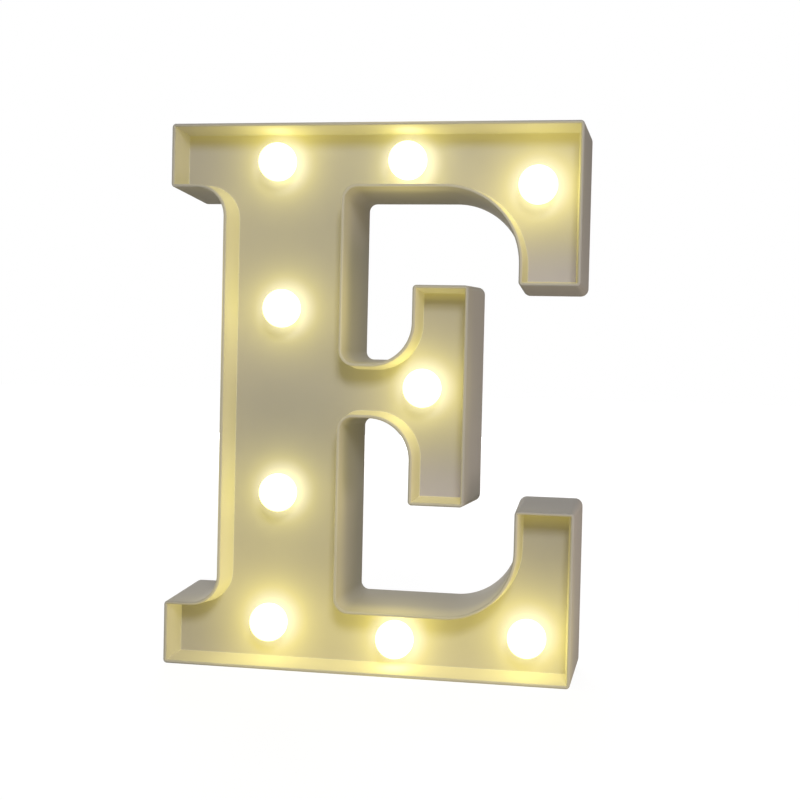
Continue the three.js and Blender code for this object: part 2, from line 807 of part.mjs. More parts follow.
function batteryPieces() {
  const bridge = contactLeaf(leftCell, rightCell, false).add(contactDimple(rightCell, false));
  const positiveLeaf = contactLeaf(leftCell, leftCell, true);
  const positive = joined([positiveLeaf, contactDimple(leftCell, true), contactTab(leftCell)]);
  const negative = contactLeaf(rightCell, rightCell, true).add(contactTab(rightCell));
  return [
    cell('cell_left', leftCell, true),
    cell('cell_right', rightCell, false),
    piece('bridge_contact', bridge, steel),
    piece('positive_contact', positive, steel),
    piece('negative_contact', negative, steel),
    contactSpring('lower_spring', leftCell, false),
    contactSpring('upper_spring', rightCell, true),
  ];
}

// The slide switch: a steel bracket screwed behind the cover, an insulated base with three pins,
// and the knob that slides in the window.
function switchPieces() {
  const [x, z] = switchCentre;
  const bracketFront = bracketBack - switchBracketThickness;
  const slotReach = knobLength / 2 + knobTravel / 2 + knobGap;
  const earHoles = [-1, 1].map((side) => {
    const earX = x + (side * switchScrewSpacing) / 2;
    const radius = switchScrewRadius + holeGap;
    return post(earX, z, radius, bracketFront - overrun, bracketBack + overrun, smallSides);
  });
  const stalkWidth = knobWidth - 2 * knobGap;
  const bracketSlot = block(
    x - slotReach,
    x + slotReach,
    bracketFront - overrun,
    bracketBack + overrun,
    z - stalkWidth / 2 - knobGap,
    z + stalkWidth / 2 + knobGap,
  );
  const bracketPlate = block(
    x - switchBracketLength / 2,
    x + switchBracketLength / 2,
    bracketFront,
    bracketBack,
    z - switchWidth / 2,
    z + switchWidth / 2,
  );
  const cheek = (side) => {
    const inner = z + (side * switchWidth) / 2;
    const outer = inner + side * switchBracketThickness;
    return block(
      x - switchLength / 2,
      x + switchLength / 2,
      bracketBack - switchDepth,
      bracketBack,
      Math.min(inner, outer),
      Math.max(inner, outer),
    );
  };
  const bracket = cutBy(joined([bracketPlate, cheek(-1), cheek(1)]), [bracketSlot, ...earHoles]);
  const baseFront = bracketFront - switchDepth;
  const baseSolid = block(
    x - switchLength / 2,
    x + switchLength / 2,
    baseFront,
    bracketFront - seatGap,
    z - switchWidth / 2 + seatGap,
    z + switchWidth / 2 - seatGap,
  );
  const track = block(
    x - slotReach,
    x + slotReach,
    bracketFront - switchDepth / 2 - seatGap,
    bracketFront + overrun,
    z - stalkWidth / 2 - knobGap,
    z + stalkWidth / 2 + knobGap,
  );
  const pieces = [
    piece('switch_bracket', bracket, steel),
    piece('switch_base', cutBy(baseSolid, [track]), sandResin),
  ];
  for (const [k, word] of ['left', 'middle', 'right'].entries()) {
    const pinX = x + (k - 1) * pinSpacing;
    const pinBack = baseFront - seatGap;
    const pin = block(
      pinX - leadWidth,
      pinX + leadWidth,
      pinBack - pinLength,
      pinBack,
      z - leadWidth / 2,
      z + leadWidth / 2,
    );
    pieces.push(piece(`switch_pin_${word}`, pin, steel));
  }
  const knobX = x + knobTravel / 2;
  const stalk = block(
    knobX - knobLength / 2,
    knobX + knobLength / 2,
    bracketFront - switchDepth / 2,
    letterDepth - seatGap,
    z - stalkWidth / 2,
    z + stalkWidth / 2,
  );
  const grips = [-1, 0, 1].map((place) => {
    const middle = knobX + place * 3 * knobRib;
    return block(
      middle - knobRib / 2,
      middle + knobRib / 2,
      letterDepth - seatGap - knobRib,
      letterDepth,
      z - stalkWidth,
      z + stalkWidth,
    );
  });
  pieces.push(piece('switch_knob', cutBy(stalk, grips), blackSleeve));
  for (const side of [-1, 1]) {
    const word = side < 0 ? 'left' : 'right';
    const screwX = x + (side * switchScrewSpacing) / 2;
    const headBack = bracketFront - seatGap;
    const headFront = headBack - switchScrewHeadHeight;
    const head = post(screwX, z, switchScrewHeadRadius, headFront, headBack, smallSides);
    const shank = post(screwX, z, switchScrewRadius, (headFront + headBack) / 2, coverFront, smallSides);
    pieces.push(piece(`switch_screw_${word}`, head.add(shank), steel));
  }
  return pieces;
}

// A cover screw, head in its cup, point in the shell's post.
function coverScrew(name, [x, z]) {
  const seat = letterDepth - cupDepth + cupFloor + seatGap;
  const head = post(x, z, screwHeadRadius, seat, seat + screwHeadHeight, roundSides);
  const shank = post(x, z, screwRadius, seat - screwLength, seat + screwHeadHeight / 2, smallSides);
  const recess = [0, 1].map((way) => {
    const [wide, tall] = way ? [recessWidth, recessLength] : [recessLength, recessWidth];
    return block(
      x - wide / 2,
      x + wide / 2,
      seat + screwHeadHeight - recessDepth,
      seat + screwHeadHeight + overrun,
      z - tall / 2,
      z + tall / 2,
    );
  });
  return piece(`cover_screw_${name}`, cutBy(head.add(shank), recess), steel);
}

// The chain wires' middle line at a share of the span after one of its points, and the wires'
// shift to either side there.
function chainAt(place, share) {
  const at = (routePoints.indexOf(place) + share) / (routePoints.length - 1);
  const middle = route.getPoint(at);
  const tangent = route.getTangent(at);
  const across = new THREE.Vector3(tangent.z, 0, -tangent.x).normalize();
  return { middle, across, along: tangent.normalize() };
}

// A point on the back of one chain wire, for a lead that joins it there.
function chainJoint(place, share, side) {
  const { middle, across } = chainAt(place, share);
  const joint = middle.clone().addScaledVector(across, (side * leadSpacing) / 2);
  joint.y = wireDepth + wireRadius + seatGap;
  return joint;
}

// The resistor: a waisted body along the positive wire, its upper lead bent to that wire.
function resistor() {
  const { along } = chainAt(bulbPlaces.top_left, resistorShare);
  const joint = chainJoint(bulbPlaces.top_left, resistorShare, 1);
  const half = resistorLength / 2;
  const bulge = resistorRadius;
  const waist = resistorRadius * resistorWaistShare;
  const body = turned(
    [
      [0, -half],
      [bulge, -half],
      [bulge, -half * resistorEndShare],
      [waist, -half * resistorWaistLengthShare],
      [waist, half * resistorWaistLengthShare],
      [bulge, half * resistorEndShare],
      [bulge, half],
      [0, half],
    ],
    smallSides,
  );
  const middle = joint.clone().addScaledVector(along, half + resistorLead);
  middle.y += resistorRadius;
  const low = middle.clone().addScaledVector(along, half + resistorLead);
  const bend = middle.clone().addScaledVector(along, -half - resistorLead / 2);
  const lead = tube([low, middle, bend, joint], resistorLeadRadius, bracketSteps, smallSides);
  const [quarterTurn, tilt] = [Math.PI / 2, Math.atan2(along.x, along.z)].map(THREE.MathUtils.radToDeg);
  const placed = body.rotate([quarterTurn, tilt, 0]).translate(middle.toArray());
  return { mesh: piece('resistor', placed.add(lead), sandResin), lowEnd: low, along };
}

// The leads between the contacts, the switch, the resistor and the two chain wires.
function leadPieces() {
  const [switchX, switchZ] = switchCentre;
  const pinDepth = bracketBack - switchBracketThickness - switchDepth - seatGap - pinLength / 2;
  const pinSide = leadWidth / 2 + seatGap;
  const tabTip = boxTop + tabReach + seatGap;
  const battery = [
    new THREE.Vector3(leftCell, terminalTabDepth, tabTip),
    new THREE.Vector3(leftCell, terminalTabDepth, tabTip + leadStub),
    new THREE.Vector3(switchX - pinSpacing, pinDepth, switchZ - pinSide - leadStub),
    new THREE.Vector3(switchX - pinSpacing, pinDepth, switchZ - pinSide),
  ];
  const { mesh, lowEnd, along } = resistor();
  const feedEnd = lowEnd.clone().addScaledVector(along, seatGap);
  const feed = [
    new THREE.Vector3(switchX, pinDepth, switchZ + pinSide),
    new THREE.Vector3(switchX, pinDepth, switchZ + pinSide + leadStub),
    feedEnd.clone().addScaledVector(along, leadStub),
    feedEnd,
  ];
  const returnEnd = chainJoint(bulbPlaces.top_left, returnShare, -1);
  const back = [
    new THREE.Vector3(rightCell, terminalTabDepth, tabTip),
    new THREE.Vector3(rightCell, terminalTabDepth, tabTip + leadStub),
    new THREE.Vector3(returnEnd.x, returnEnd.y + leadStub, returnEnd.z),
    returnEnd,
  ];
  return [
    mesh,
    piece('battery_lead', tube(battery, wireRadius, bracketSteps), redSleeve),
    piece('feed_lead', tube(feed, wireRadius, bracketSteps), redSleeve),
    piece('return_lead', tube(back, wireRadius, bracketSteps), blackSleeve),
  ];
}

const letter = new THREE.Group();
letter.add(frontShell());
letter.add(backCover());
letter.add(batteryDoor());
for (const [name, place] of Object.entries(bulbPlaces)) {
  letter.add(bulb(name, place));
  letter.add(lamp(name, place, headingAt(place)));
}
letter.add(chainWire('positive_wire', 1, redSleeve));
letter.add(chainWire('negative_wire', -1, blackSleeve));
letter.add(...batteryPieces());
letter.add(...switchPieces());
for (const [name, place] of Object.entries(screwPlaces())) {
  letter.add(coverScrew(name, place));
}
letter.add(...leadPieces());
letter.position.set(-letterWidth / 2, -letterDepth / 2, 0);

export default letter;
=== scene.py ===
# %% [markdown]
# # A light-up letter E
#
# The real object is a battery letter of white moulded plastic. Its front is a shallow tray with
# a thin rounded rim, and nine milky ball bulbs stand on the tray's floor. Behind the floor lie
# lamps and wires, and a back cover holds two cells and a slide switch.
#
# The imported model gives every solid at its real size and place. The small hard pieces inside
# only get a finish here. What meets the eye is made anew: a smooth shell, round bulbs, a cover
# and door with rounded edges, cells, springs, screws and the knob.

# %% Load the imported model
import json
import math

import bmesh
import bpy
import numpy as np
from mathutils import Matrix, Vector, geometry


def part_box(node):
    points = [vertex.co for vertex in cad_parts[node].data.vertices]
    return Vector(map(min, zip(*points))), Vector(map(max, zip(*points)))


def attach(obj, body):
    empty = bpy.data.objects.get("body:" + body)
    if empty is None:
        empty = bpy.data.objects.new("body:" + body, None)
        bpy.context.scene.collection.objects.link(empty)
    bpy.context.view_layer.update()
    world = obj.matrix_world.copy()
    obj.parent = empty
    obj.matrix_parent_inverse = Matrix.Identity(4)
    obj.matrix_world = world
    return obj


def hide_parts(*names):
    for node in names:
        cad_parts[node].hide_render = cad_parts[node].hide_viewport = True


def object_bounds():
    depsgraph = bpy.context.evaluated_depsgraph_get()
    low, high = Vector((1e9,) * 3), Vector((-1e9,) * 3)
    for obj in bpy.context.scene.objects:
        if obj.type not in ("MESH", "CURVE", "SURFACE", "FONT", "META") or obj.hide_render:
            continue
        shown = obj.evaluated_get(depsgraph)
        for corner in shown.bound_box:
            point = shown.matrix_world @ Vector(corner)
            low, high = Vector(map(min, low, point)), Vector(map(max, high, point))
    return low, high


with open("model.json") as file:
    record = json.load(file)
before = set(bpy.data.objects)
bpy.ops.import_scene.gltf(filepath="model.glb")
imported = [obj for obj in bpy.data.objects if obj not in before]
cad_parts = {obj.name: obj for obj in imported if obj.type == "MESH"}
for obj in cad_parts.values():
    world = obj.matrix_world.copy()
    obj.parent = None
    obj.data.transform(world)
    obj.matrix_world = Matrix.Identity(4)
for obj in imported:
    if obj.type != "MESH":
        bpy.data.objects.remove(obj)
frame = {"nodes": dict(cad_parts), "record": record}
cad_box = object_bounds()
MM = 0.001
scene = bpy.context.scene
print(len(frame["nodes"]), "nodes, box", [[round(v, 4) for v in corner] for corner in cad_box])

# %% [markdown]
# ## The camera
#
# The photograph's lens and standpoint can be worked out from straight edges whose real length
# is known: the rim's corners, the back edges and the tray's floor. Solving for all of them at
# once gives a lens a little longer than normal, to the right of the letter and just above its
# middle, turned slightly left, tipped slightly down and rolled by a degree.

# %% Camera
LENS = 58.307
SENSOR = 36.0
NEAREST_SEEN = 10 * MM
STANDPOINT = Vector((102.77, -525.27, 126.304)) * MM
YAW = math.radians(10.062)
PITCH = math.radians(-1.759)
ROLL = math.radians(1.321)

camera_data = bpy.data.cameras.new("camera")
camera_data.lens = LENS
camera_data.sensor_width = SENSOR
camera_data.clip_start = NEAREST_SEEN
camera = bpy.data.objects.new("camera", camera_data)
scene.collection.objects.link(camera)
upright = Matrix.Rotation(math.pi / 2, 4, "X")
turned = Matrix.Rotation(YAW, 4, "Z") @ Matrix.Rotation(PITCH, 4, "X") @ upright
camera.matrix_world = Matrix.Translation(STANDPOINT) @ turned @ Matrix.Rotation(ROLL, 4, "Z")
scene.camera = camera
print("camera at", [round(v, 3) for v in STANDPOINT], "metres")

# %% [markdown]
# ## Shader sums
#
# A finish is a sum over places: how far a point is from a bulb, how deep it lies, how the grain
# runs. Blender writes such sums as chains of Math nodes, which are hard to read. One small
# class wraps a socket and gives it Python's operators, so that the sums read as sums.

# %% Signals
class Signal:
    """One output of a node tree. Sums on signals add Math nodes."""

    def __init__(self, wiring, socket):
        self.wiring = wiring
        self.socket = socket

    def math(self, operation, *inputs, clamp=False):
        return self.wiring.node("ShaderNodeMath", inputs, operation=operation, use_clamp=clamp)

    def __add__(self, other):
        return self.math("ADD", self, other)

    def __rsub__(self, other):
        return self.math("SUBTRACT", other, self)

    def __mul__(self, other):
        return self.math("MULTIPLY", self, other)

    def __truediv__(self, other):
        return self.math("DIVIDE", self, other)

    def __rtruediv__(self, other):
        return self.math("DIVIDE", other, self)

    def __pow__(self, other):
        return self.math("POWER", self, other)

    __radd__ = __add__
    __rmul__ = __mul__

    def clamped(self):
        return self.math("ADD", self, 0.0, clamp=True)


print("signals add, multiply, divide and raise, and 1 - signal works too")

# %% [markdown]
# Every other node comes from one method, which sets the node up first and then joins its
# inputs. The world and the floor are wired with it, and so are the finishes, which add a
# Principled shader and a few words for what a moulded surface needs.

# %% Wiring and finishes
WHITE = (1.0, 1.0, 1.0, 1.0)
BLACK = (0.0, 0.0, 0.0, 1.0)


class Wiring:
    """The node tree of a world or material, put together from nothing."""

    def __init__(self, owner):
        owner.use_nodes = True
        self.tree = owner.node_tree
        self.tree.nodes.clear()

    def node(self, kind, inputs, output=0, **settings):
        """Adds a node: settings first, then its inputs, given in order or by name."""
        made = self.tree.nodes.new(kind)
        for key, value in settings.items():
            setattr(made, key, value)
        pairs = inputs.items() if isinstance(inputs, dict) else enumerate(inputs)
        for key, value in pairs:
            if isinstance(value, Signal):
                self.tree.links.new(value.socket, made.inputs[key])
            else:
                made.inputs[key].default_value = value
        return Signal(self, made.outputs[output]) if made.outputs else None

    def seen_directly(self):
        """1 for rays that show the background itself: from the camera, a gloss or a clear piece."""
        kinds = ("Is Camera Ray", "Is Glossy Ray", "Is Transmission Ray")
        first, second, third = [self.node("ShaderNodeLightPath", [], output=kind) for kind in kinds]
        return first.math("MAXIMUM", first.math("MAXIMUM", first, second), third)

    def ramp(self, value, start, end, low=0.0, high=1.0, kind="SMOOTHSTEP"):
        """low before start, high after end, and between the two in between."""
        return self.node("ShaderNodeMapRange", [value, start, end, low, high], interpolation_type=kind)


class Finish(Wiring):
    """A material with a Principled shader, and the nodes that feed it."""

    def __init__(self, name, **constants):
        self.material = bpy.data.materials.new(name)
        super().__init__(self.material)
        facts = {socket.replace("_", " "): value for socket, value in constants.items()}
        self.shader = self.node("ShaderNodeBsdfPrincipled", facts)
        self.node("ShaderNodeOutputMaterial", [self.shader])
        self.place = self.node("ShaderNodeTexCoord", [], output="Object")

    def measure(self, way):
        """How far the shaded point lies across, in or up from the letter's front left foot."""
        ways = {"across": ("X", LETTER_WIDTH / 2), "in": ("Y", LETTER_DEPTH / 2), "up": ("Z", 0.0)}
        axis, middle = ways[way]
        return self.node("ShaderNodeSeparateXYZ", [self.place], output=axis) + middle * MM

    def noise(self, scale):
        """Noise from 0 to 1, with scale blotches to the metre."""
        return self.node("ShaderNodeTexNoise", {"Vector": self.place, "Scale": scale}, output="Fac")

    def distance(self, point):
        """How far the shaded point is from a point of the letter, in metres."""
        return self.node("ShaderNodeVectorMath", [self.place, point], output="Value", operation="DISTANCE")

    def blend(self, share, first, second):
        """A colour between two, by a share from 0 to 1."""
        return self.node("ShaderNodeMix", {0: share, 6: first, 7: second}, output=2, data_type="RGBA")

    def feed(self, socket, signal):
        self.tree.links.new(signal.socket, self.shader.socket.node.inputs[socket])
        return self

    def dulled(self, least, spread, spots):
        """Roughness that wanders up from its least value, with so many spots to the metre."""
        return self.feed("Roughness", least + spread * self.noise(spots))

    def bumped(self, height, depth):
        """Relief from a height signal of 0 to 1, with its full depth in metres."""
        facts = {"Strength": 1.0, "Distance": depth, "Height": height}
        return self.feed("Normal", self.node("ShaderNodeBump", facts))


print("wiring adds nodes, finishes blend, measure and bump")

# %% [markdown]
# ## The room
#
# The photograph shows the letter on pure white. Lighting a real backdrop to pure white would
# flood the letter with light and burn its plastic out. So the room has two sides: the light
# that falls on the letter is dim and plain, and what the camera or a glossy piece sees of the
# room directly is white.

# %% Room
ROOM_LIGHT = 0.18
ROOM_COLOUR = (0.98, 0.98, 0.97, 1.0)

world = bpy.data.worlds.new("room")
room = Wiring(world)
dim = room.node("ShaderNodeBackground", {"Color": ROOM_COLOUR, "Strength": ROOM_LIGHT})
bright = room.node("ShaderNodeBackground", {"Color": WHITE, "Strength": 1.0})
room.node("ShaderNodeOutputWorld", [room.node("ShaderNodeMixShader", [room.seen_directly(), dim, bright])])
scene.world = world
scene.view_settings.view_transform = "Standard"
print("room light", ROOM_LIGHT)

# %% [markdown]
# The floor must be white as well and still hold the letter's shadow. It is therefore mostly a
# plain glow, with a little grey cloth added that the lamps light, and its glow grows to full
# white away from the letter. For the light that bounces off it, the floor is a warm grey, which
# gives the letter's undersides their brown shade.

# %% Floor
FLOOR_SIZE = 8.0
FLOOR_GLOW_NEAR, FLOOR_GLOW_FAR = 0.91, 1.0
GLOW_RISES_FROM, GLOW_RISES_TO = 0.3, 1.2
FLOOR_CLOTH = (0.16, 0.16, 0.16, 1.0)
FLOOR_BOUNCE = (0.40, 0.38, 0.31, 1.0)

half = FLOOR_SIZE / 2
floor_mesh = bpy.data.meshes.new("floor")
floor_corners = [(-half, -half, 0), (half, -half, 0), (half, half, 0), (-half, half, 0)]
floor_mesh.from_pydata(floor_corners, [], [(0, 1, 2, 3)])
floor = bpy.data.objects.new("floor", floor_mesh)
scene.collection.objects.link(floor)

floor_paint = bpy.data.materials.new("floor_white")
paint = Wiring(floor_paint)
spot = paint.node("ShaderNodeTexCoord", [], output="Object")
away = paint.node("ShaderNodeVectorMath", [spot], output="Value", operation="LENGTH")
rise = paint.ramp(away, GLOW_RISES_FROM, GLOW_RISES_TO, FLOOR_GLOW_NEAR, FLOOR_GLOW_FAR, "LINEAR")
glowing = paint.node("ShaderNodeEmission", {"Strength": rise})
cloth = paint.node("ShaderNodeBsdfDiffuse", {"Color": FLOOR_CLOTH})
seen = paint.node("ShaderNodeAddShader", [cloth, glowing])
bounce = paint.node("ShaderNodeBsdfDiffuse", {"Color": FLOOR_BOUNCE})
both = paint.node("ShaderNodeMixShader", [paint.seen_directly(), bounce, seen])
paint.node("ShaderNodeOutputMaterial", [both])
floor_mesh.materials.append(floor_paint)
print("floor", FLOOR_SIZE, "metres wide")

# %% [markdown]
# ## The lamps
#
# In the photograph a band of shade with a soft edge lies under each upper wall of the tray, so
# the main lamp hangs above the letter's right shoulder and is small. A second, warmer one stands
# low and close on the right, because the right-hand faces are palest near the foot. Two more
# light the left side and the back, which the photograph doesn't show, and hardly touch the
# front. All of them are plain squares, because the room's own light already fills the shade.

# %% Lamps
LAMPS = {
    "key": {"level": 0.40, "size": 0.22, "distance": 1.0, "rise": 27, "side": 14},
    "right_fill": {
        "level": 0.2, "size": 0.08, "distance": 0.3, "rise": -13, "side": 74, "colour": (1.0, 0.84, 0.75),
    },
    "left_fill": {"level": 0.25, "size": 0.3, "distance": 1.2, "rise": 3, "side": 258},
    "back_fill": {"level": 1.3, "size": 0.9, "distance": 1.6, "rise": 7, "side": 195},
}
letter_middle = Vector((0.0, 0.0, (cad_box[0][2] + cad_box[1][2]) / 2))


def make_lamp(name, level, size, distance, rise, side, colour=(1.0, 1.0, 1.0)):
    """A square lamp that faces the letter's middle from a rise and a side, in degrees.

    A white surface that faces it renders at level: power = level * pi squared * distance squared.
    Only the key lamp mirrors in metal, so that screws and springs don't burn out.
    """
    data = bpy.data.lights.new(name, "AREA")
    data.energy = level * math.pi**2 * distance**2
    data.size = size
    data.color = colour
    rise, side = math.radians(rise), math.radians(side)
    towards = Vector((math.sin(side) * math.cos(rise), -math.cos(side) * math.cos(rise), math.sin(rise)))
    lamp = bpy.data.objects.new(name, data)
    lamp.location = letter_middle + distance * towards
    lamp.rotation_euler = towards.to_track_quat("Z", "Y").to_euler()
    lamp.visible_camera = False
    lamp.visible_glossy = name == "key"
    scene.collection.objects.link(lamp)
    print(name, "at", [round(v, 2) for v in lamp.location], "level", level)


for name, facts in LAMPS.items():
    make_lamp(name, **facts)

# %% [markdown]
# ## The letter's outline
#
# A slab-serif E has twenty-four square corners, and every one of them is rounded: the brackets
# under the serifs by large arcs, the ends by small ones. The mould leans its walls outwards
# with depth so that the letter leaves it. A drawn curve would need one copy for every depth.
# Here the outline is a list of corners with their radii, so an outline at any depth is the same
# list with its edges shifted and its arcs grown or shrunk to match. All measures below are in
# millimetres from the letter's lower left corner.

# %% Measures of the letter
LETTER_WIDTH, LETTER_HEIGHT, ARM = 165.7, 220.0, 25.6
STEM_LEFT, STEM_RIGHT = 22.2, 72.0
UPPER_SERIF_LEFT, UPPER_SERIF_BOTTOM = 141.8, 156.2
LOWER_SERIF_LEFT, LOWER_SERIF_TOP = 142.6, 68.5
SLAB_LEFT, SLAB_RIGHT, SLAB_BOTTOM, SLAB_TOP = 100.2, 122.4, 69.0, 156.1
NECK_BOTTOM, NECK_TOP = 103.0, 124.7
ARM_TOP = LETTER_HEIGHT - ARM
LETTER_DEPTH = (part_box("front_shell")[1].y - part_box("front_shell")[0].y) / MM
WALL_LEAN = 1.7

EDGE_ROUND, BAY_ROUND, SERIF_BRACKET, SLAB_BRACKET = 1.5, 5.0, 11.5, 16.5
UPPER_BRACKET, LOWER_BRACKET = 30.0, 27.0
CORNERS = np.array([
    [0, 0, EDGE_ROUND],
    [LETTER_WIDTH, 0, EDGE_ROUND],
    [LETTER_WIDTH, LOWER_SERIF_TOP, EDGE_ROUND],
    [LOWER_SERIF_LEFT, LOWER_SERIF_TOP, EDGE_ROUND],
    [LOWER_SERIF_LEFT, ARM, LOWER_BRACKET],
    [STEM_RIGHT, ARM, BAY_ROUND],
    [STEM_RIGHT, NECK_BOTTOM, BAY_ROUND],
    [SLAB_LEFT, NECK_BOTTOM, SLAB_BRACKET],
    [SLAB_LEFT, SLAB_BOTTOM, EDGE_ROUND],
    [SLAB_RIGHT, SLAB_BOTTOM, EDGE_ROUND],
    [SLAB_RIGHT, SLAB_TOP, EDGE_ROUND],
    [SLAB_LEFT, SLAB_TOP, EDGE_ROUND],
    [SLAB_LEFT, NECK_TOP, SLAB_BRACKET],
    [STEM_RIGHT, NECK_TOP, BAY_ROUND],
    [STEM_RIGHT, ARM_TOP, BAY_ROUND],
    [UPPER_SERIF_LEFT, ARM_TOP, UPPER_BRACKET],
    [UPPER_SERIF_LEFT, UPPER_SERIF_BOTTOM, EDGE_ROUND],
    [LETTER_WIDTH, UPPER_SERIF_BOTTOM, EDGE_ROUND],
    [LETTER_WIDTH, LETTER_HEIGHT, EDGE_ROUND],
    [0, LETTER_HEIGHT, EDGE_ROUND],
    [0, ARM_TOP, EDGE_ROUND],
    [STEM_LEFT, ARM_TOP, SERIF_BRACKET],
    [STEM_LEFT, ARM, SERIF_BRACKET],
    [0, ARM, EDGE_ROUND],
])
print(len(CORNERS), "corners, depth", round(LETTER_DEPTH, 2), "mm")

# %% Outline
SMALLEST_ROUND = 0.25
LEAST_STEPS = 8
ARC_PITCH = 1.5
HOLD = 0.3


class Outline:
    """A closed path whose corners are arcs, and which can grow or shrink.

    corners are rows of [across, up, radius], anticlockwise from the front. To grow, each edge
    moves outwards and meets its neighbours anew. A corner's arc has its centre one radius in
    from both edges, and its points are
    centre - leaving * radius * cos(turn) + arriving * radius * sin(turn), turn from 0 to 90
    degrees. One more point stands a little before and after each arc, to keep the sides flat.
    """

    def __init__(self, corners, hold=HOLD, least_round=SMALLEST_ROUND):
        corners = np.array(corners, float)
        self.points, self.rounds = corners[:, :2], corners[:, 2]
        self.hold, self.least_round = hold, least_round
        leaving = np.roll(self.points, -1, axis=0) - self.points
        self.leaving = leaving / np.linalg.norm(leaving, axis=1, keepdims=True)
        self.arriving = np.roll(self.leaving, 1, axis=0)
        self.outwards = np.stack([self.leaving[:, 1], -self.leaving[:, 0]], axis=1)
        cross = self.arriving[:, 0] * self.leaving[:, 1] - self.arriving[:, 1] * self.leaving[:, 0]
        self.bend = np.where(cross > 0, 1, -1)
        steps = np.maximum(LEAST_STEPS, np.ceil(self.rounds * math.pi / 2 / ARC_PITCH)).astype(int)
        self.corner = np.repeat(np.arange(len(corners)), steps + 3)
        slot = np.concatenate([np.arange(-1, n + 2) for n in steps])
        self.turn = np.clip(slot / steps[self.corner], 0, 1)[:, None] * math.pi / 2
        self.before = (slot < 0)[:, None]
        self.after = (slot > steps[self.corner])[:, None]

    def grown(self, growth, by_edge=None):
        """The path's points with its edges moved outwards by growth, or by a value for each."""
        by_edge = np.broadcast_to(growth if by_edge is None else by_edge, len(self.points))
        shift = by_edge[:, None] * self.outwards
        apex = self.points + shift + np.roll(shift, 1, axis=0)
        radius = np.maximum(self.rounds + self.bend * growth, self.least_round)[:, None]
        centre = (apex + radius * (self.leaving - self.arriving))[self.corner]
        radius, arriving, leaving = radius[self.corner], self.arriving[self.corner], self.leaving[self.corner]
        path = centre - leaving * radius * np.cos(self.turn) + arriving * radius * np.sin(self.turn)
        path -= np.where(self.before, self.hold, 0) * arriving
        return path + np.where(self.after, self.hold, 0) * leaving


letter = Outline(CORNERS)
print(len(letter.corner), "points round the letter")

# %% [markdown]
# The base stays flat at every depth, so that the letter stands: its edge alone doesn't lean.

# %% The outline at a depth
is_base = (CORNERS[:, 1] == 0) & (np.roll(CORNERS[:, 1], -1) == 0)


def outline(depth, inset, lean_depth=None):
    """The letter's outline at a depth: edges out by the wall's lean there, less the inset."""
    lean = WALL_LEAN * (depth if lean_depth is None else lean_depth) / LETTER_DEPTH
    return letter.grown(lean - inset, np.where(is_base, -inset, lean - inset))


print("the back is", round(np.ptp(outline(LETTER_DEPTH, 0)[:, 0]), 1), "mm wide")

# %% [markdown]
# ## A skin from rings and fills
#
# Moulded pieces are mostly a profile carried round an outline: rim, wall and floor of the shell
# all follow the same corners. Extruding and bevelling by hand would lose the lean of the walls,
# and cutting holes with a Boolean leaves ragged faces. So rings of points are worked out one
# profile station at a time, neighbouring rings are joined with quads, and where the profile
# ends a flat face closes it, by a triangulation that knows its holes.

# %% Points within a loop
def within(points, loop):
    """True for each point inside a closed loop: it has an odd number of edges to its right."""
    a, b = loop, np.roll(loop, -1, axis=0)
    up = points[:, 1, None]
    spans = (a[:, 1] > up) != (b[:, 1] > up)
    rise = np.where(a[:, 1] == b[:, 1], 1, b[:, 1] - a[:, 1])
    meets = a[:, 0] + (up - a[:, 1]) / rise * (b[:, 0] - a[:, 0])
    return (spans & (points[:, 0, None] < meets)).sum(axis=1) % 2 == 1


stem_point = np.array([[STEM_RIGHT, LETTER_HEIGHT]]) / 2
print("a point of the stem is within the outline:", within(stem_point, outline(0, 0))[0])

# %% Round shapes
CIRCLE_SIDES = 48


def quarter(radius, steps):
    """A quarter circle's [sine, cosine] offsets from its centre, as rows."""
    turn = np.linspace(0, math.pi / 2, steps + 1)
    return radius * np.stack([np.sin(turn), np.cos(turn)], axis=1)


def circle(centre, radius, sides):
    """Points round a circle, anticlockwise from the front; sides is a number or its angles."""
    turn = np.arange(sides) * 2 * math.pi / sides if np.ndim(sides) == 0 else sides
    return np.asarray(centre) + radius * np.stack([np.cos(turn), np.sin(turn)], axis=1)


print("a quarter circle of radius 1 in two steps:", quarter(1, 2).round(2).tolist())

# %% Skin
JOIN_WITHIN = 1e-6


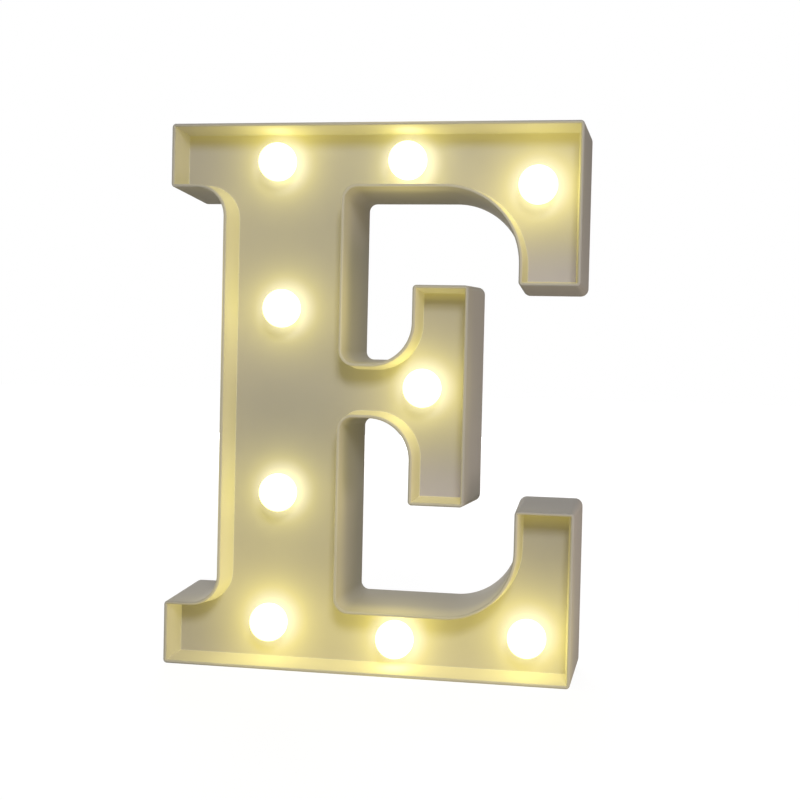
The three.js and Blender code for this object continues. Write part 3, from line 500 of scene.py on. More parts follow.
class Skin:
    """Gathers points and faces in the letter's own millimetres: across, depth, up.

    A face's tag is the number of its material in the mesh.
    """

    def __init__(self):
        self.blocks, self.faces, self.tags = [], [], []
        self.count = 0

    def loop(self, points):
        """Adds rows of [across, depth, up] and gives their numbers."""
        self.blocks.append(points)
        self.count += len(points)
        return np.arange(self.count - len(points), self.count)

    def ring(self, points, depth):
        """Adds [across, up] points at a depth and gives their numbers."""
        return self.loop(np.column_stack([points[:, 0], np.full(len(points), depth), points[:, 1]]))

    def turned(self, place, profile, sides=CIRCLE_SIDES):
        """Adds a circle round a place for each (radius, depth) of a profile."""
        return [self.ring(circle(place, radius, sides), depth) for radius, depth in profile]

    def add(self, faces, tag):
        self.faces += faces.tolist()
        self.tags += [tag] * len(faces)

    def band(self, rings, flip=False, tag=0):
        """Joins rings, each to the next, with quads; flip turns the faces over."""
        here = np.array(rings)
        beside = np.roll(here, -1, axis=1)
        quads = np.stack([here[:-1], here[1:], beside[1:], beside[:-1]], axis=-1).reshape(-1, 4)
        self.add(quads[:, ::-1] if flip else quads, tag)

    def cap(self, ring, flip=False, tag=0):
        """Closes a flat ring with one face."""
        self.add((ring[::-1] if flip else ring)[None], tag)

    def rod(self, rings):
        """Joins rings and closes both ends."""
        self.band(rings)
        self.cap(rings[0])
        self.cap(rings[-1], flip=True)

    def fill(self, outer, holes=(), to_front=True, tag=0):
        """Closes a flat face between an outer ring and the rings of its holes."""
        loops = [outer, *holes]
        numbers = np.concatenate(loops)
        flat = np.concatenate(self.blocks)[numbers][:, [0, 2]]
        starts = np.cumsum([0, *map(len, loops)])
        after = [start + np.roll(np.arange(len(loop)), -1) for start, loop in zip(starts, loops)]
        edges = np.stack([np.arange(len(numbers)), np.concatenate(after)], axis=1)
        found = geometry.delaunay_2d_cdt(flat.tolist(), edges.tolist(), [], 1, JOIN_WITHIN)
        source = np.array(found[3])[:, 0]
        triangles = source[np.array(found[2])]
        centres = flat[triangles].mean(axis=1)
        keep = np.ones(len(triangles), bool)
        for start, hole in zip(starts[1:], holes):
            keep &= ~within(centres, flat[start : start + len(hole)])
        faces = numbers[triangles[keep]]
        self.add(faces if to_front else faces[:, ::-1], tag)

    def mesh(self, name):
        """The mesh at its real place, in metres."""
        points = np.concatenate(self.blocks) - [LETTER_WIDTH / 2, LETTER_DEPTH / 2, 0]
        mesh = bpy.data.meshes.new(name)
        mesh.from_pydata((points * MM).tolist(), [], self.faces)
        mesh.polygons.foreach_set("material_index", self.tags)
        return mesh


print("rings, bands, caps and fills ready")

# %% [markdown]
# A finished piece is smooth all over but for its sharp edges. It rides on its body, stands for
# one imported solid, which is then hidden, and names the finish that it takes.

# %% Pieces
SHARP_FROM = math.radians(40)
slots = {}


def smooth_piece(mesh, body, stands_for, slot):
    """An object of a mesh, smooth but for its sharp edges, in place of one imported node."""
    mesh.shade_smooth()
    mesh.set_sharp_from_angle(angle=SHARP_FROM)
    piece = bpy.data.objects.new(mesh.name, mesh)
    scene.collection.objects.link(piece)
    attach(piece, body)
    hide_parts(stands_for)
    slots[piece] = slot
    return piece


def packed_box(node):
    """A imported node's lowest and highest [across, depth, up], in the letter's millimetres."""
    shift = np.array([LETTER_WIDTH / 2, LETTER_DEPTH / 2, 0])
    return [np.array(corner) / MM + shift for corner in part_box(node)]


print("the packed shell runs", [corner.round(2).tolist() for corner in packed_box("front_shell")])

# %% [markdown]
# ## The front shell
#
# The shell is one moulding: a rounded rim 1.25 mm wide, a tray 14.7 mm deep with slightly
# tapered walls, outer walls that lean out to the back, and a rebate there for the cover. One
# profile of (depth, inset) pairs runs from the tray's floor over the rim and round the back to
# the floor's rear face. The floor is the flat fill between, with a hole under each bulb.

# %% Shell profile
RIM_WIDTH, RIM_ROUND = 1.25, 0.5
POCKET_DEPTH, POCKET_TAPER = 14.7, 1.0
FLOOR_BACK = POCKET_DEPTH + 1.8
WALL, REBATE_WALL, REBATE_EDGE = 2.2, 1.2, 0.1
COVER_THICKNESS, SEAT_GAP = 1.8, 0.3
REBATE_FRONT = LETTER_DEPTH - COVER_THICKNESS - SEAT_GAP
ROUND_STEPS = 6

rim_arc = quarter(RIM_ROUND, ROUND_STEPS)
foot_inset = RIM_WIDTH + POCKET_TAPER
taper_hold = HOLD * POCKET_TAPER / POCKET_DEPTH
pocket_profile = [
    (POCKET_DEPTH, foot_inset + RIM_ROUND + HOLD),
    *[(POCKET_DEPTH - RIM_ROUND + c, foot_inset + RIM_ROUND - s) for s, c in rim_arc],
    (POCKET_DEPTH - RIM_ROUND - HOLD, foot_inset - taper_hold),
    (RIM_ROUND + HOLD, RIM_WIDTH + taper_hold),
    *[(RIM_ROUND - s, RIM_WIDTH - RIM_ROUND + c) for s, c in rim_arc],
]
outer_profile = [
    *[(RIM_ROUND - c, RIM_ROUND - s) for s, c in rim_arc],
    (RIM_ROUND + HOLD, 0),
    (LETTER_DEPTH - RIM_ROUND - HOLD, 0),
    *[(LETTER_DEPTH - RIM_ROUND + s, RIM_ROUND - c) for s, c in rim_arc],
    (LETTER_DEPTH, REBATE_WALL - REBATE_EDGE),
    (LETTER_DEPTH - REBATE_EDGE, REBATE_WALL),
    (REBATE_FRONT, REBATE_WALL),
    (REBATE_FRONT, WALL),
    (FLOOR_BACK, WALL),
]
print(len(pocket_profile) + len(outer_profile), "stations along the shell's profile")

# %% [markdown]
# Each bulb's neck passes through a hole in the floor, and behind the floor stand the posts
# that take the cover's screws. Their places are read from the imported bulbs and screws.

# %% Bulb and screw places
BULB_NAMES = (
    "top_right", "top_middle", "top_left", "stem_upper", "middle", "stem_lower",
    "bottom_left", "bottom_middle", "bottom_right",
)
SCREW_NAMES = (
    "top_left", "top_right", "upper_serif", "slab_top", "slab_bottom", "lower_serif",
    "bottom_right", "bottom_left",
)


def middle_of(node):
    """The [across, up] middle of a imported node."""
    low, high = packed_box(node)
    return ((low + high) / 2)[[0, 2]]


bulb_places = {name: middle_of("bulb_" + name) for name in BULB_NAMES}
screw_places = {name: middle_of("cover_screw_" + name) for name in SCREW_NAMES}
print({name: place.round(1).tolist() for name, place in bulb_places.items()})

# %% [markdown]
# The shell will have three materials, the same plastic with a different painted glow on each: the tray's
# floor, its walls with the rim, and the outside. So each stretch of the profile is joined with its own tag,
# and the floor's begins halfway up the small arc at the foot of the wall.

# %% Walls of the shell
FLOOR, TRAY, OUTSIDE = 0, 1, 2

shell_skin = Skin()
pocket_rings = [shell_skin.ring(outline(d, i, 0), d) for d, i in pocket_profile]
outer_rings = [shell_skin.ring(outline(d, i), d) for d, i in outer_profile]
halfway = ROUND_STEPS // 2
shell_skin.band(pocket_rings[: halfway + 1], tag=FLOOR)
shell_skin.band([*pocket_rings[halfway:], outer_rings[0]], tag=TRAY)
shell_skin.band(outer_rings, tag=OUTSIDE)
print(len(shell_skin.faces), "faces from the floor over the rim to the back")

# %% [markdown]
# A hole is a band between two circles whose faces look inwards. A post is the same turned
# round, with a narrower blind hole down its middle. Their circles then become the holes of the
# two flat fills that close the floor.

# %% Bulb holes, screw posts and the floor
NECK_RADIUS, HOLE_GAP = 4.4, 0.25
POST_RADIUS, PILOT_RADIUS, PILOT_DEPTH, CUP_DEPTH = 3.2, 1.35, 10.0, 6.0

front_holes, back_loops = [], []
for place in bulb_places.values():
    radius = NECK_RADIUS + HOLE_GAP
    front, back = shell_skin.turned(place, [(radius, POCKET_DEPTH), (radius, FLOOR_BACK)])
    shell_skin.band([front, back], flip=True)
    front_holes.append(front)
    back_loops.append(back)

post_back = LETTER_DEPTH - CUP_DEPTH - SEAT_GAP
post_profile = [
    (POST_RADIUS, FLOOR_BACK), (POST_RADIUS, post_back),
    (PILOT_RADIUS, post_back), (PILOT_RADIUS, post_back - PILOT_DEPTH),
]
for place in screw_places.values():
    post_rings = shell_skin.turned(place, post_profile)
    shell_skin.band(post_rings)
    shell_skin.fill(post_rings[-1], to_front=False)
    back_loops.append(post_rings[0])

shell_skin.fill(pocket_rings[0], front_holes, to_front=True, tag=FLOOR)
shell_skin.fill(outer_rings[-1], back_loops, to_front=False, tag=OUTSIDE)
shell = smooth_piece(shell_skin.mesh("shell_front_smooth"), "body", "front_shell", "white_plastic")
print("shell has", len(shell.data.vertices), "points and", len(shell.data.polygons), "faces")

# %% [markdown]
# ## The ball bulbs
#
# A bulb is a turned piece: a thin ball whose shoulder sits on the hole's edge, a neck, and a
# barb that snaps behind the floor. Blender's own sphere would need its neck joined on. Here one
# profile of (radius, depth) pairs is spun about the bulb's axis on a fine grid, so the ball
# stays round in its outline from every side and the neck grows out of it.

# %% Bulb profile
BULB_RADIUS, BULB_WALL, NECK_LENGTH = 7.8, 1.2, 5.0
BARB_REACH, BARB_LENGTH, BORE_RADIUS = 0.6, 0.8, 2.75
BALL_STEPS, BULB_SIDES = 40, 64

shoulder = math.sqrt(BULB_RADIUS**2 - NECK_RADIUS**2)
bulb_centre = POCKET_DEPTH - SEAT_GAP - shoulder
neck_back = bulb_centre + shoulder + NECK_LENGTH
barb_front = FLOOR_BACK + SEAT_GAP


def ball_arc(radius, neck):
    """A ball's profile from just off its front pole to where its neck starts."""
    turn = np.linspace(math.pi / 2 / BALL_STEPS, math.pi - math.asin(neck / radius), BALL_STEPS)
    return np.stack([radius * np.sin(turn), bulb_centre - radius * np.cos(turn)], axis=1)


neck_profile = [
    (NECK_RADIUS, barb_front),
    (NECK_RADIUS + BARB_REACH, barb_front),
    (NECK_RADIUS + BARB_REACH, barb_front + BARB_LENGTH),
    (NECK_RADIUS - BARB_REACH, neck_back),
    (BORE_RADIUS, neck_back),
]
outer_ball = ball_arc(BULB_RADIUS, NECK_RADIUS)
inner_ball = ball_arc(BULB_RADIUS - BULB_WALL, BORE_RADIUS)
bulb_profile = np.concatenate([outer_ball, neck_profile, inner_ball[::-1]])
print(len(bulb_profile), "stations along a bulb, its centre", round(bulb_centre, 2), "mm deep")

# %% [markdown]
# The rings are spun round each bulb's own place, and two flat fills close the poles, the outer
# one at the front and the inner one behind it.

# %% Build the bulbs
def make_bulb(name, place):
    """A profile spun about an axis: circle(place, radius) at each depth."""
    skin = Skin()
    rings = skin.turned(place, bulb_profile, BULB_SIDES)
    skin.band(rings)
    skin.fill(rings[0], to_front=True)
    skin.fill(rings[-1], to_front=False)
    return smooth_piece(skin.mesh("bulb_smooth_" + name), "body", "bulb_" + name, "milky_plastic")


bulbs = [make_bulb(name, place) for name, place in bulb_places.items()]
print(len(bulbs), "bulbs of", len(bulbs[0].data.polygons), "faces")

# %% [markdown]
# ## The back cover
#
# The cover is a plate that lies in the shell's rebate, with every edge rounded. It has eight
# bores for the screws, two keyholes, a doorway and the switch's window. Each opening is an
# outline that can grow, so that its edge at the back can be rounded too.

# %% Openings of the cover
COVER_GAP, COVER_EDGE, FINE = 0.3, 0.3, 0.12
BORE, KEYHOLE_HEAD, KEYHOLE_SLOT, KEYHOLE_RISE, KEYHOLE_DROP = 3.1, 4.0, 2.0, 7.0, 13.0
HEAD_STEPS, TIP_STEPS, EDGE_STEPS = 40, 20, 4
KNOB_TRAVEL, KNOB_REACH, KNOB_GAP, WINDOW_ROUND = 4.0, 2.0, 0.35, 0.4
DOOR_GAP, DOOR_TAB_REACH, DOORWAY_ROUND = 0.3, 1.6, 0.6


def rectangle(low, high, radius):
    """An outline of four corners of one radius."""
    (left, bottom), (right, top) = low, high
    corners = [[left, bottom], [right, bottom], [right, top], [left, top]]
    return Outline([[*corner, radius] for corner in corners], FINE)


def keyhole(centre, growth):
    """A round head with a narrower slot above it, anticlockwise from the head's upper left."""
    wide, narrow = KEYHOLE_HEAD + growth, KEYHOLE_SLOT + growth
    meeting = math.acos(narrow / wide)
    head = circle((0, 0), wide, np.linspace(math.pi - meeting, 2 * math.pi + meeting, HEAD_STEPS))
    tip = circle((0, KEYHOLE_RISE), narrow, np.linspace(0, math.pi, TIP_STEPS))
    return np.array(centre) + np.concatenate([head, tip])


door_low, door_high = packed_box("battery_door")
door_low[2] += DOOR_TAB_REACH
knob_low, knob_high = packed_box("switch_knob")
window_middle = ((knob_low + knob_high) / 2)[[0, 2]] - [KNOB_TRAVEL / 2, 0]
window_reach = np.array([KNOB_TRAVEL, KNOB_REACH]) + KNOB_GAP
window = rectangle(window_middle - window_reach, window_middle + window_reach, WINDOW_ROUND)
doorway = rectangle(door_low[[0, 2]] - DOOR_GAP, door_high[[0, 2]] + DOOR_GAP, DOORWAY_ROUND)
top_bulbs = [bulb_places[name][0] for name in ("top_left", "top_middle", "top_right")]
keyhole_places = [((a + b) / 2, LETTER_HEIGHT - KEYHOLE_DROP) for a, b in zip(top_bulbs, top_bulbs[1:])]

openings = [window.grown, doorway.grown]
openings += [lambda growth, at=at: keyhole(at, growth) for at in keyhole_places]
openings += [lambda growth, at=at: circle(at, BORE + growth, CIRCLE_SIDES) for at in screw_places.values()]
print(len(openings), "openings, keyholes at", [np.round(at, 1).tolist() for at in keyhole_places])

# %% [markdown]
# The plate's side and the side of each opening are the same short profile: straight back, then
# round an edge. An opening takes it from back to front, so that its faces look inwards, and its
# two end rings become holes in the plate's fills.

# %% Plate of the cover
PRESSED_THICKNESS = 0.05
PLATE_FRONT = LETTER_DEPTH - COVER_THICKNESS + PRESSED_THICKNESS
COVER_INSET = REBATE_WALL + COVER_GAP


def rounded_side(front, edge):
    """(depth, inset) pairs from a front depth to a rounded edge at the letter's back."""
    round_edge = [(LETTER_DEPTH - edge + s, edge - c) for s, c in quarter(edge, EDGE_STEPS)]
    return [(front, 0), (LETTER_DEPTH - edge - FINE, 0), *round_edge, (LETTER_DEPTH, edge + FINE)]


plate, plate_side = Skin(), rounded_side(PLATE_FRONT, COVER_EDGE)
plate_rings = [
    plate.ring(outline(depth, COVER_INSET + inset, LETTER_DEPTH), depth) for depth, inset in plate_side
]
plate.band(plate_rings)
holes = [[plate.ring(shape(inset), depth) for depth, inset in plate_side[::-1]] for shape in openings]
for hole in holes:
    plate.band(hole)
plate.fill(plate_rings[-1], [hole[0] for hole in holes], to_front=False)
plate.fill(plate_rings[0], [hole[-1] for hole in holes], to_front=True)
print("plate has", len(plate.faces), "faces")

# %% [markdown]
# In front of the plate the cover has a battery box, eight screw cups and the switch's posts.
# They are hidden or seen only through the openings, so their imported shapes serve. A copy of the
# packed cover has its own plate pressed to a thin layer in front of the new one, its doubled
# points are joined, and it becomes one mesh with the new plate.

# %% Join the box to the plate
DOUBLED_WITHIN = 0.001 * MM
FLAT_WITHIN = math.radians(1)


def merged(mesh):
    """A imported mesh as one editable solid: its doubled points joined and its flat faces whole."""
    solid = bmesh.new()
    solid.from_mesh(mesh)
    bmesh.ops.remove_doubles(solid, verts=solid.verts, dist=DOUBLED_WITHIN)
    bmesh.ops.dissolve_limit(solid, angle_limit=FLAT_WITHIN, verts=solid.verts, edges=solid.edges)
    return solid


def to_mesh(solid, name):
    """Puts an editable solid into a new mesh."""
    mesh = bpy.data.meshes.new(name)
    solid.to_mesh(mesh)
    solid.free()
    return mesh


pressed = frame["nodes"]["back_cover"].data.copy()
spots = np.zeros(3 * len(pressed.vertices), np.float32)
pressed.vertices.foreach_get("co", spots)
spots[1::3] = np.minimum(spots[1::3], (PLATE_FRONT - LETTER_DEPTH / 2) * MM)
pressed.vertices.foreach_set("co", spots)
inside = merged(pressed)
inside.from_mesh(plate.mesh("plate"))
cover = smooth_piece(to_mesh(inside, "cover_smooth"), "body", "back_cover", "white_plastic")
print("cover has", len(holes), "openings and", len(cover.data.polygons), "faces")

# %% [markdown]
# ## The battery door
#
# The door's outline dips into two slots that free the latch tongue at its top. Its outer face
# has a shallow round dish for the thumb: a cap of a sphere, as rings round its centre.

# %% Door outline
DOOR_THICKNESS, DOOR_EDGE, DOOR_ROUND, SLOT_ROUND = 1.5, 0.25, 0.3, 0.25
LATCH_WIDTH, LATCH_LENGTH, LATCH_SLOT = 9.0, 6.0, 0.8

(left, bottom), (right, top) = door_low[[0, 2]], door_high[[0, 2]]
middle = (left + right) / 2
slot_foot = top - LATCH_LENGTH
tongue_left, tongue_right = middle - LATCH_WIDTH / 2, middle + LATCH_WIDTH / 2


def latch_slot(right_side, left_side):
    """The four corners of a slot cut down from the door's top, from its right to its left."""
    return [
        [right_side, top, DOOR_ROUND], [right_side, slot_foot, SLOT_ROUND],
        [left_side, slot_foot, SLOT_ROUND], [left_side, top, DOOR_ROUND],
    ]


door_outline = Outline([
    [left, bottom, DOOR_ROUND], [right, bottom, DOOR_ROUND], [right, top, DOOR_ROUND],
    *latch_slot(tongue_right + LATCH_SLOT, tongue_right),
    *latch_slot(tongue_left, tongue_left - LATCH_SLOT),
    [left, top, DOOR_ROUND],
], FINE)
print("door", round(right - left, 2), "by", round(top - bottom, 2), "mm")

# %% [markdown]
# The plate is the same kind of profile as the cover's. The dish is a hole in its back fill,
# closed by rings that go down a sphere: radius * sin(turn) wide, radius * (1 - cos(turn)) up
# from its lowest point.

# %% Door plate and dish
THUMB_RADIUS, THUMB_DEPTH, DISH_STEPS, DISH_POLE = 9.0, 0.6, 8, 0.02

door_skin, door_side = Skin(), rounded_side(LETTER_DEPTH - DOOR_THICKNESS, DOOR_EDGE)
door_rings = [door_skin.ring(door_outline.grown(-inset), depth) for depth, inset in door_side]
door_skin.band(door_rings)
door_skin.fill(door_rings[0], to_front=True)

dish_turn = math.acos(1 - THUMB_DEPTH / THUMB_RADIUS) * np.linspace(1, DISH_POLE, DISH_STEPS)
dish_radii = THUMB_RADIUS * np.sin(dish_turn)
dish_depths = LETTER_DEPTH - THUMB_DEPTH + THUMB_RADIUS * (1 - np.cos(dish_turn))
dish_rings = door_skin.turned((middle, slot_foot), zip(dish_radii, dish_depths))
door_skin.band(dish_rings)
door_skin.cap(dish_rings[-1], flip=True)
door_skin.fill(door_rings[-1], [dish_rings[0]], to_front=False)
print("dish", round(2 * dish_radii[0], 2), "mm wide")

# %% [markdown]
# Two tabs reach under the cover at the door's foot and hold it there while it tips. From the
# side a tab is an L: a tongue under the cover's edge, and a foot that stands in the door. That
# outline is carried straight across, so that tongue and foot are one solid.

# %% Door tabs
TAB_WIDTH, TAB_THICKNESS, TAB_INSET = 2.6, 1.1, 0.8

tongue_front, tongue_back = REBATE_FRONT - TAB_THICKNESS, REBATE_FRONT
foot_back, tab_top = LETTER_DEPTH - DOOR_THICKNESS / 2, bottom + TAB_THICKNESS
tab_side = np.array([
    [tongue_front, bottom - DOOR_TAB_REACH], [tongue_back, bottom - DOOR_TAB_REACH],
    [tongue_back, bottom + FINE], [foot_back, bottom + FINE], [foot_back, tab_top], [tongue_front, tab_top],
])


def add_tab(skin, side, left_end):
    """Carries an outline of [depth, up] corners across, from the tab's right to its left_end."""
    ends = (left_end + TAB_WIDTH, left_end)
    skin.rod([skin.loop(np.column_stack([np.full(len(side), across), side])) for across in ends])


for left_end in (left + TAB_INSET, right - TAB_INSET - TAB_WIDTH):
    add_tab(door_skin, tab_side, left_end)
door = smooth_piece(door_skin.mesh("door_smooth"), "door", "battery_door", "white_plastic")
print("door has", len(door.data.polygons), "faces")

# %% [markdown]
# ## The cells
#
# The two cells show when the door is open. A cell is a steel can in a sleeve that is shrunk
# over its edges, so bare steel shows only at the ends, and a nub stands on one of them. A
# Screw modifier could turn it from a drawn edge, but its faces would have to be picked by hand
# for their finishes. Here the profile is written as four runs, and each run names its own.

# %% Cell profile
WRAP, BARE, BAND = 0, 1, 2
NUB_RADIUS, NUB_LENGTH, NUB_EDGE, BARE_EDGE = 2.6, 1.0, 0.3, 0.2
CELL_SHOULDER, WRAP_STEP, WRAP_EDGE, WRAP_HOLD = 0.8, 0.1, 0.5, 0.5
BAND_LENGTH, BAND_STEP, POLE = 13.0, 0.01, 0.01


def cell_profile(radius, length):
    """Runs of (radius, height) pairs, each with its finish, from the flat end to the nub."""
    shoulder, arc = radius - CELL_SHOULDER, quarter(CELL_SHOULDER, ROUND_STEPS)
    lower = [(shoulder + s, CELL_SHOULDER + WRAP_STEP - c) for s, c in arc]
    upper = [(shoulder + c, length - CELL_SHOULDER + s) for s, c in arc]
    nub = [
        (shoulder - WRAP_EDGE, length), (NUB_RADIUS + BARE_EDGE, length),
        (NUB_RADIUS, length + BARE_EDGE), (NUB_RADIUS, length + NUB_LENGTH - NUB_EDGE),
        (NUB_RADIUS - NUB_EDGE, length + NUB_LENGTH), (POLE, length + NUB_LENGTH),
    ]
    band_start, wrap_end = length - BAND_LENGTH, length - CELL_SHOULDER - WRAP_HOLD
    return [
        (BARE, [(POLE, 0), (shoulder - BARE_EDGE, 0)]),
        (WRAP, [*lower, (radius, CELL_SHOULDER + WRAP_HOLD), (radius, band_start)]),
        (BAND, [(radius, band_start + BAND_STEP), (radius, wrap_end), *upper]),
        (BARE, nub),
    ]


print("the wrap, bare steel and the band are finishes", WRAP, BARE, BAND, "of a cell")

# %% [markdown]
# The profile is turned about the cell's upright axis. One cell stands nub up and the other nub
# down, as the contacts need, so the turn runs the other way round for the second one.

# %% Build the cells
def make_cell(node, nub_up):
    """Turns the profile: across = radius * cos(turn), inwards = -radius * sin(turn)."""
    low, high = packed_box(node)
    axis, radius = (low + high) / 2, (high[0] - low[0]) / 2
    turn = np.linspace(0, 2 * math.pi, BULB_SIDES, endpoint=False) * (1 if nub_up else -1)
    skin, rings = Skin(), []
    for tag, run in cell_profile(radius, high[2] - low[2] - NUB_LENGTH):
        joins = rings[-1:]
        for reach, height in run:
            up = np.full(len(turn), low[2] + height if nub_up else high[2] - height)
            across, inwards = axis[0] + reach * np.cos(turn), axis[1] - reach * np.sin(turn)
            rings.append(skin.loop(np.column_stack([across, inwards, up])))
        skin.band([*joins, *rings[-len(run) :]], tag=tag)
    skin.cap(rings[0], tag=BARE)
    skin.cap(rings[-1], flip=True, tag=BARE)
    return smooth_piece(skin.mesh(node + "_smooth"), "body", node, "cell_wrap")


cells = [make_cell("cell_left", True), make_cell("cell_right", False)]
print("cells of", len(cells[0].data.polygons), "faces")

# %% [markdown]
# ## The springs
#
# A spring presses on each cell's flat end: a round wire wound up a cone. A curve with a round
# bevel would do, but it has no say in how the wire's own circle turns. Here the middle line is
# a formula, and the circles of all its points are worked out at once, as one array of points
# along the wire by points round it.

# %% Build the springs
SPRING_WIDE, SPRING_TIP, SPRING_WIRE, SPRING_TURNS = 4.2, 2.4, 0.35, 3.5
STEPS_A_TURN, WIRE_SIDES = 32, 12
UP = np.array([0.0, 0.0, 1.0])


def make_spring(node, tip_up):
    """A wire along a line that winds up a cone.

    The line is axis + radius * (cos turn, sin turn), and it rises evenly while the radius
    shrinks. Round each of its points runs wire * (cos * sideways + sin * across), where across
    is square to the line and to sideways.
    """
    low, high = packed_box(node)
    axis = (low + high) / 2 * [1, 1, 0]
    share = np.linspace(0, 1, int(SPRING_TURNS * STEPS_A_TURN) + 1)[:, None]
    turn = 2 * math.pi * SPRING_TURNS * share
    radius = SPRING_WIDE + (SPRING_TIP - SPRING_WIDE) * share
    sideways = np.hstack([np.cos(turn), np.sin(turn), np.zeros_like(turn)])
    lowest, highest = low[2] + SPRING_WIRE, high[2] - SPRING_WIRE
    start, end = (lowest, highest) if tip_up else (highest, lowest)
    line = axis + radius * sideways + (start + (end - start) * share) * UP
    along = np.gradient(line, axis=0)
    along /= np.linalg.norm(along, axis=1, keepdims=True)
    across = np.cross(sideways, along)
    wire = np.linspace(0, 2 * math.pi, WIRE_SIDES, endpoint=False)[:, None]
    circles = np.cos(wire) * sideways[:, None] + np.sin(wire) * across[:, None]
    tube = line[:, None] + SPRING_WIRE * circles
    skin = Skin()
    skin.rod(skin.loop(tube.reshape(-1, 3)).reshape(len(line), -1))
    return smooth_piece(skin.mesh(node + "_smooth"), "body", node, "plated_steel")


springs = [make_spring("lower_spring", True), make_spring("upper_spring", False)]
print("springs of", len(springs[0].data.polygons), "faces")

# %% [markdown]
# ## The cover screws
#
# A cover screw has a pan head with a rounded edge and a cross recess whose walls taper, so that
# the driver centres itself. Its thread is sunk in the post and never seen, so the shank is
# plain. The head is a turned profile whose top is a flat fill with a cross-shaped hole in it.

# %% Build the screws
SCREW_RADIUS, SCREW_POINT, POINT_LENGTH = 1.1, 0.2, 2.0
HEAD_RADIUS, HEAD_HEIGHT, HEAD_ROUND = 2.5, 1.7, 0.7
CROSS_WIDTH, CROSS_LENGTH, CROSS_DEPTH, CROSS_TAPER = 0.7, 3.0, 0.9, 0.12
CROSS_ROUND, CROSS_HOLD, CROSS_LEAST_ROUND = 0.05, 0.02, 0.04
QUARTER_TURN = np.array([[0, 1], [-1, 0]])


def cross_recess(place):
    """A cross's outline: an inner corner and the arm corners beside it, four times round."""
    reach, side = CROSS_LENGTH / 2, CROSS_WIDTH / 2
    part = np.array([[side, -reach], [side, -side], [reach, -side]])
    arms = np.concatenate([part @ np.linalg.matrix_power(QUARTER_TURN, k) for k in range(4)])
    corners = np.column_stack([place + arms, np.full(len(arms), CROSS_ROUND)])
    return Outline(corners, CROSS_HOLD, CROSS_LEAST_ROUND)


def make_screw(name):
    """Circles from the point to the head's top, and a cross that narrows with its depth."""
    place, cross = screw_places[name], cross_recess(screw_places[name])
    (_, tip, _), (_, back, _) = packed_box("cover_screw_" + name)
    head_arc = quarter(HEAD_ROUND, ROUND_STEPS)
    stations = [
        (SCREW_POINT, tip), (SCREW_RADIUS, tip + POINT_LENGTH),
        (SCREW_RADIUS, back - HEAD_HEIGHT), (HEAD_RADIUS, back - HEAD_HEIGHT),
        *[(HEAD_RADIUS - HEAD_ROUND + c, back - HEAD_ROUND + s) for s, c in head_arc],
    ]
    skin = Skin()
    rings = skin.turned(place, stations)
    recess = [skin.ring(cross.grown(0.0), back), skin.ring(cross.grown(-CROSS_TAPER), back - CROSS_DEPTH)]
    skin.band(rings)
    skin.cap(rings[0])
    skin.fill(rings[-1], [recess[0]], to_front=False)
    skin.band(recess)
    skin.fill(recess[1], to_front=False)
    return smooth_piece(skin.mesh("screw_smooth_" + name), "body", "cover_screw_" + name, "plated_steel")


screws = [make_screw(name) for name in SCREW_NAMES]
print(len(screws), "screws of", len(screws[0].data.polygons), "faces")

# %% [markdown]
# ## The switch knob
#
# The knob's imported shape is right, but its edges are sharper than any moulded grip's. A copy
# has its doubled points joined, and a Bevel modifier then finds its edges and rounds them.

# %% Round the knob
KNOB_EDGE, KNOB_EDGE_STEPS = 0.1, 2

knob_mesh = to_mesh(merged(frame["nodes"]["switch_knob"].data), "knob_rounded")
knob = smooth_piece(knob_mesh, "knob", "switch_knob", "black_plastic")
bevel = knob.modifiers.new("edges", "BEVEL")
bevel.width = KNOB_EDGE * MM
bevel.segments = KNOB_EDGE_STEPS
bevel.limit_method = "ANGLE"
bevel.angle_limit = SHARP_FROM
bevel.harden_normals = True
print("knob of", len(knob_mesh.polygons), "faces before its bevel")

# %% [markdown]
# ## White plastic
#
# The shell is a warm white plastic that reads as pale satin. Gloss in the shader itself would
# mirror the white room in every underside and wash its shade out. So that gloss is off, and a
# thin coat gives the faint sheen instead. A cloud of a few parts in a hundred keeps the large
# faces from looking drawn, and a fine grain breaks up the light as an etched mould does.

# %% Moulded plastic
PLASTIC, PLASTIC_PALE = (0.45, 0.428, 0.40, 1.0), (0.48, 0.457, 0.43, 1.0)
SHEEN, SHEEN_ROUGHNESS = 0.05, 0.3
CLOUDS = 28.0
GRAIN_PITCH, GRAIN_DEPTH = 0.35 * MM, 0.006 * MM


def moulded(name, grain_depth=GRAIN_DEPTH, **constants):
    """Satin plastic with a cloudy colour, dull spots and a fine grain."""
    coat = {"Coat_Weight": SHEEN, "Coat_Roughness": SHEEN_ROUGHNESS}
    finish = Finish(name, Specular_IOR_Level=0.0, **coat, **constants)
    finish.feed("Base Color", finish.blend(finish.noise(CLOUDS), PLASTIC, PLASTIC_PALE))
    finish.dulled(least=0.36, spread=0.1, spots=60.0)
    return finish.bumped(finish.noise(1 / GRAIN_PITCH), grain_depth)


cover_finish = moulded("cover_plastic", grain_depth=2 * GRAIN_DEPTH)
print("sheen", SHEEN, "and a grain of", GRAIN_PITCH / MM, "mm")
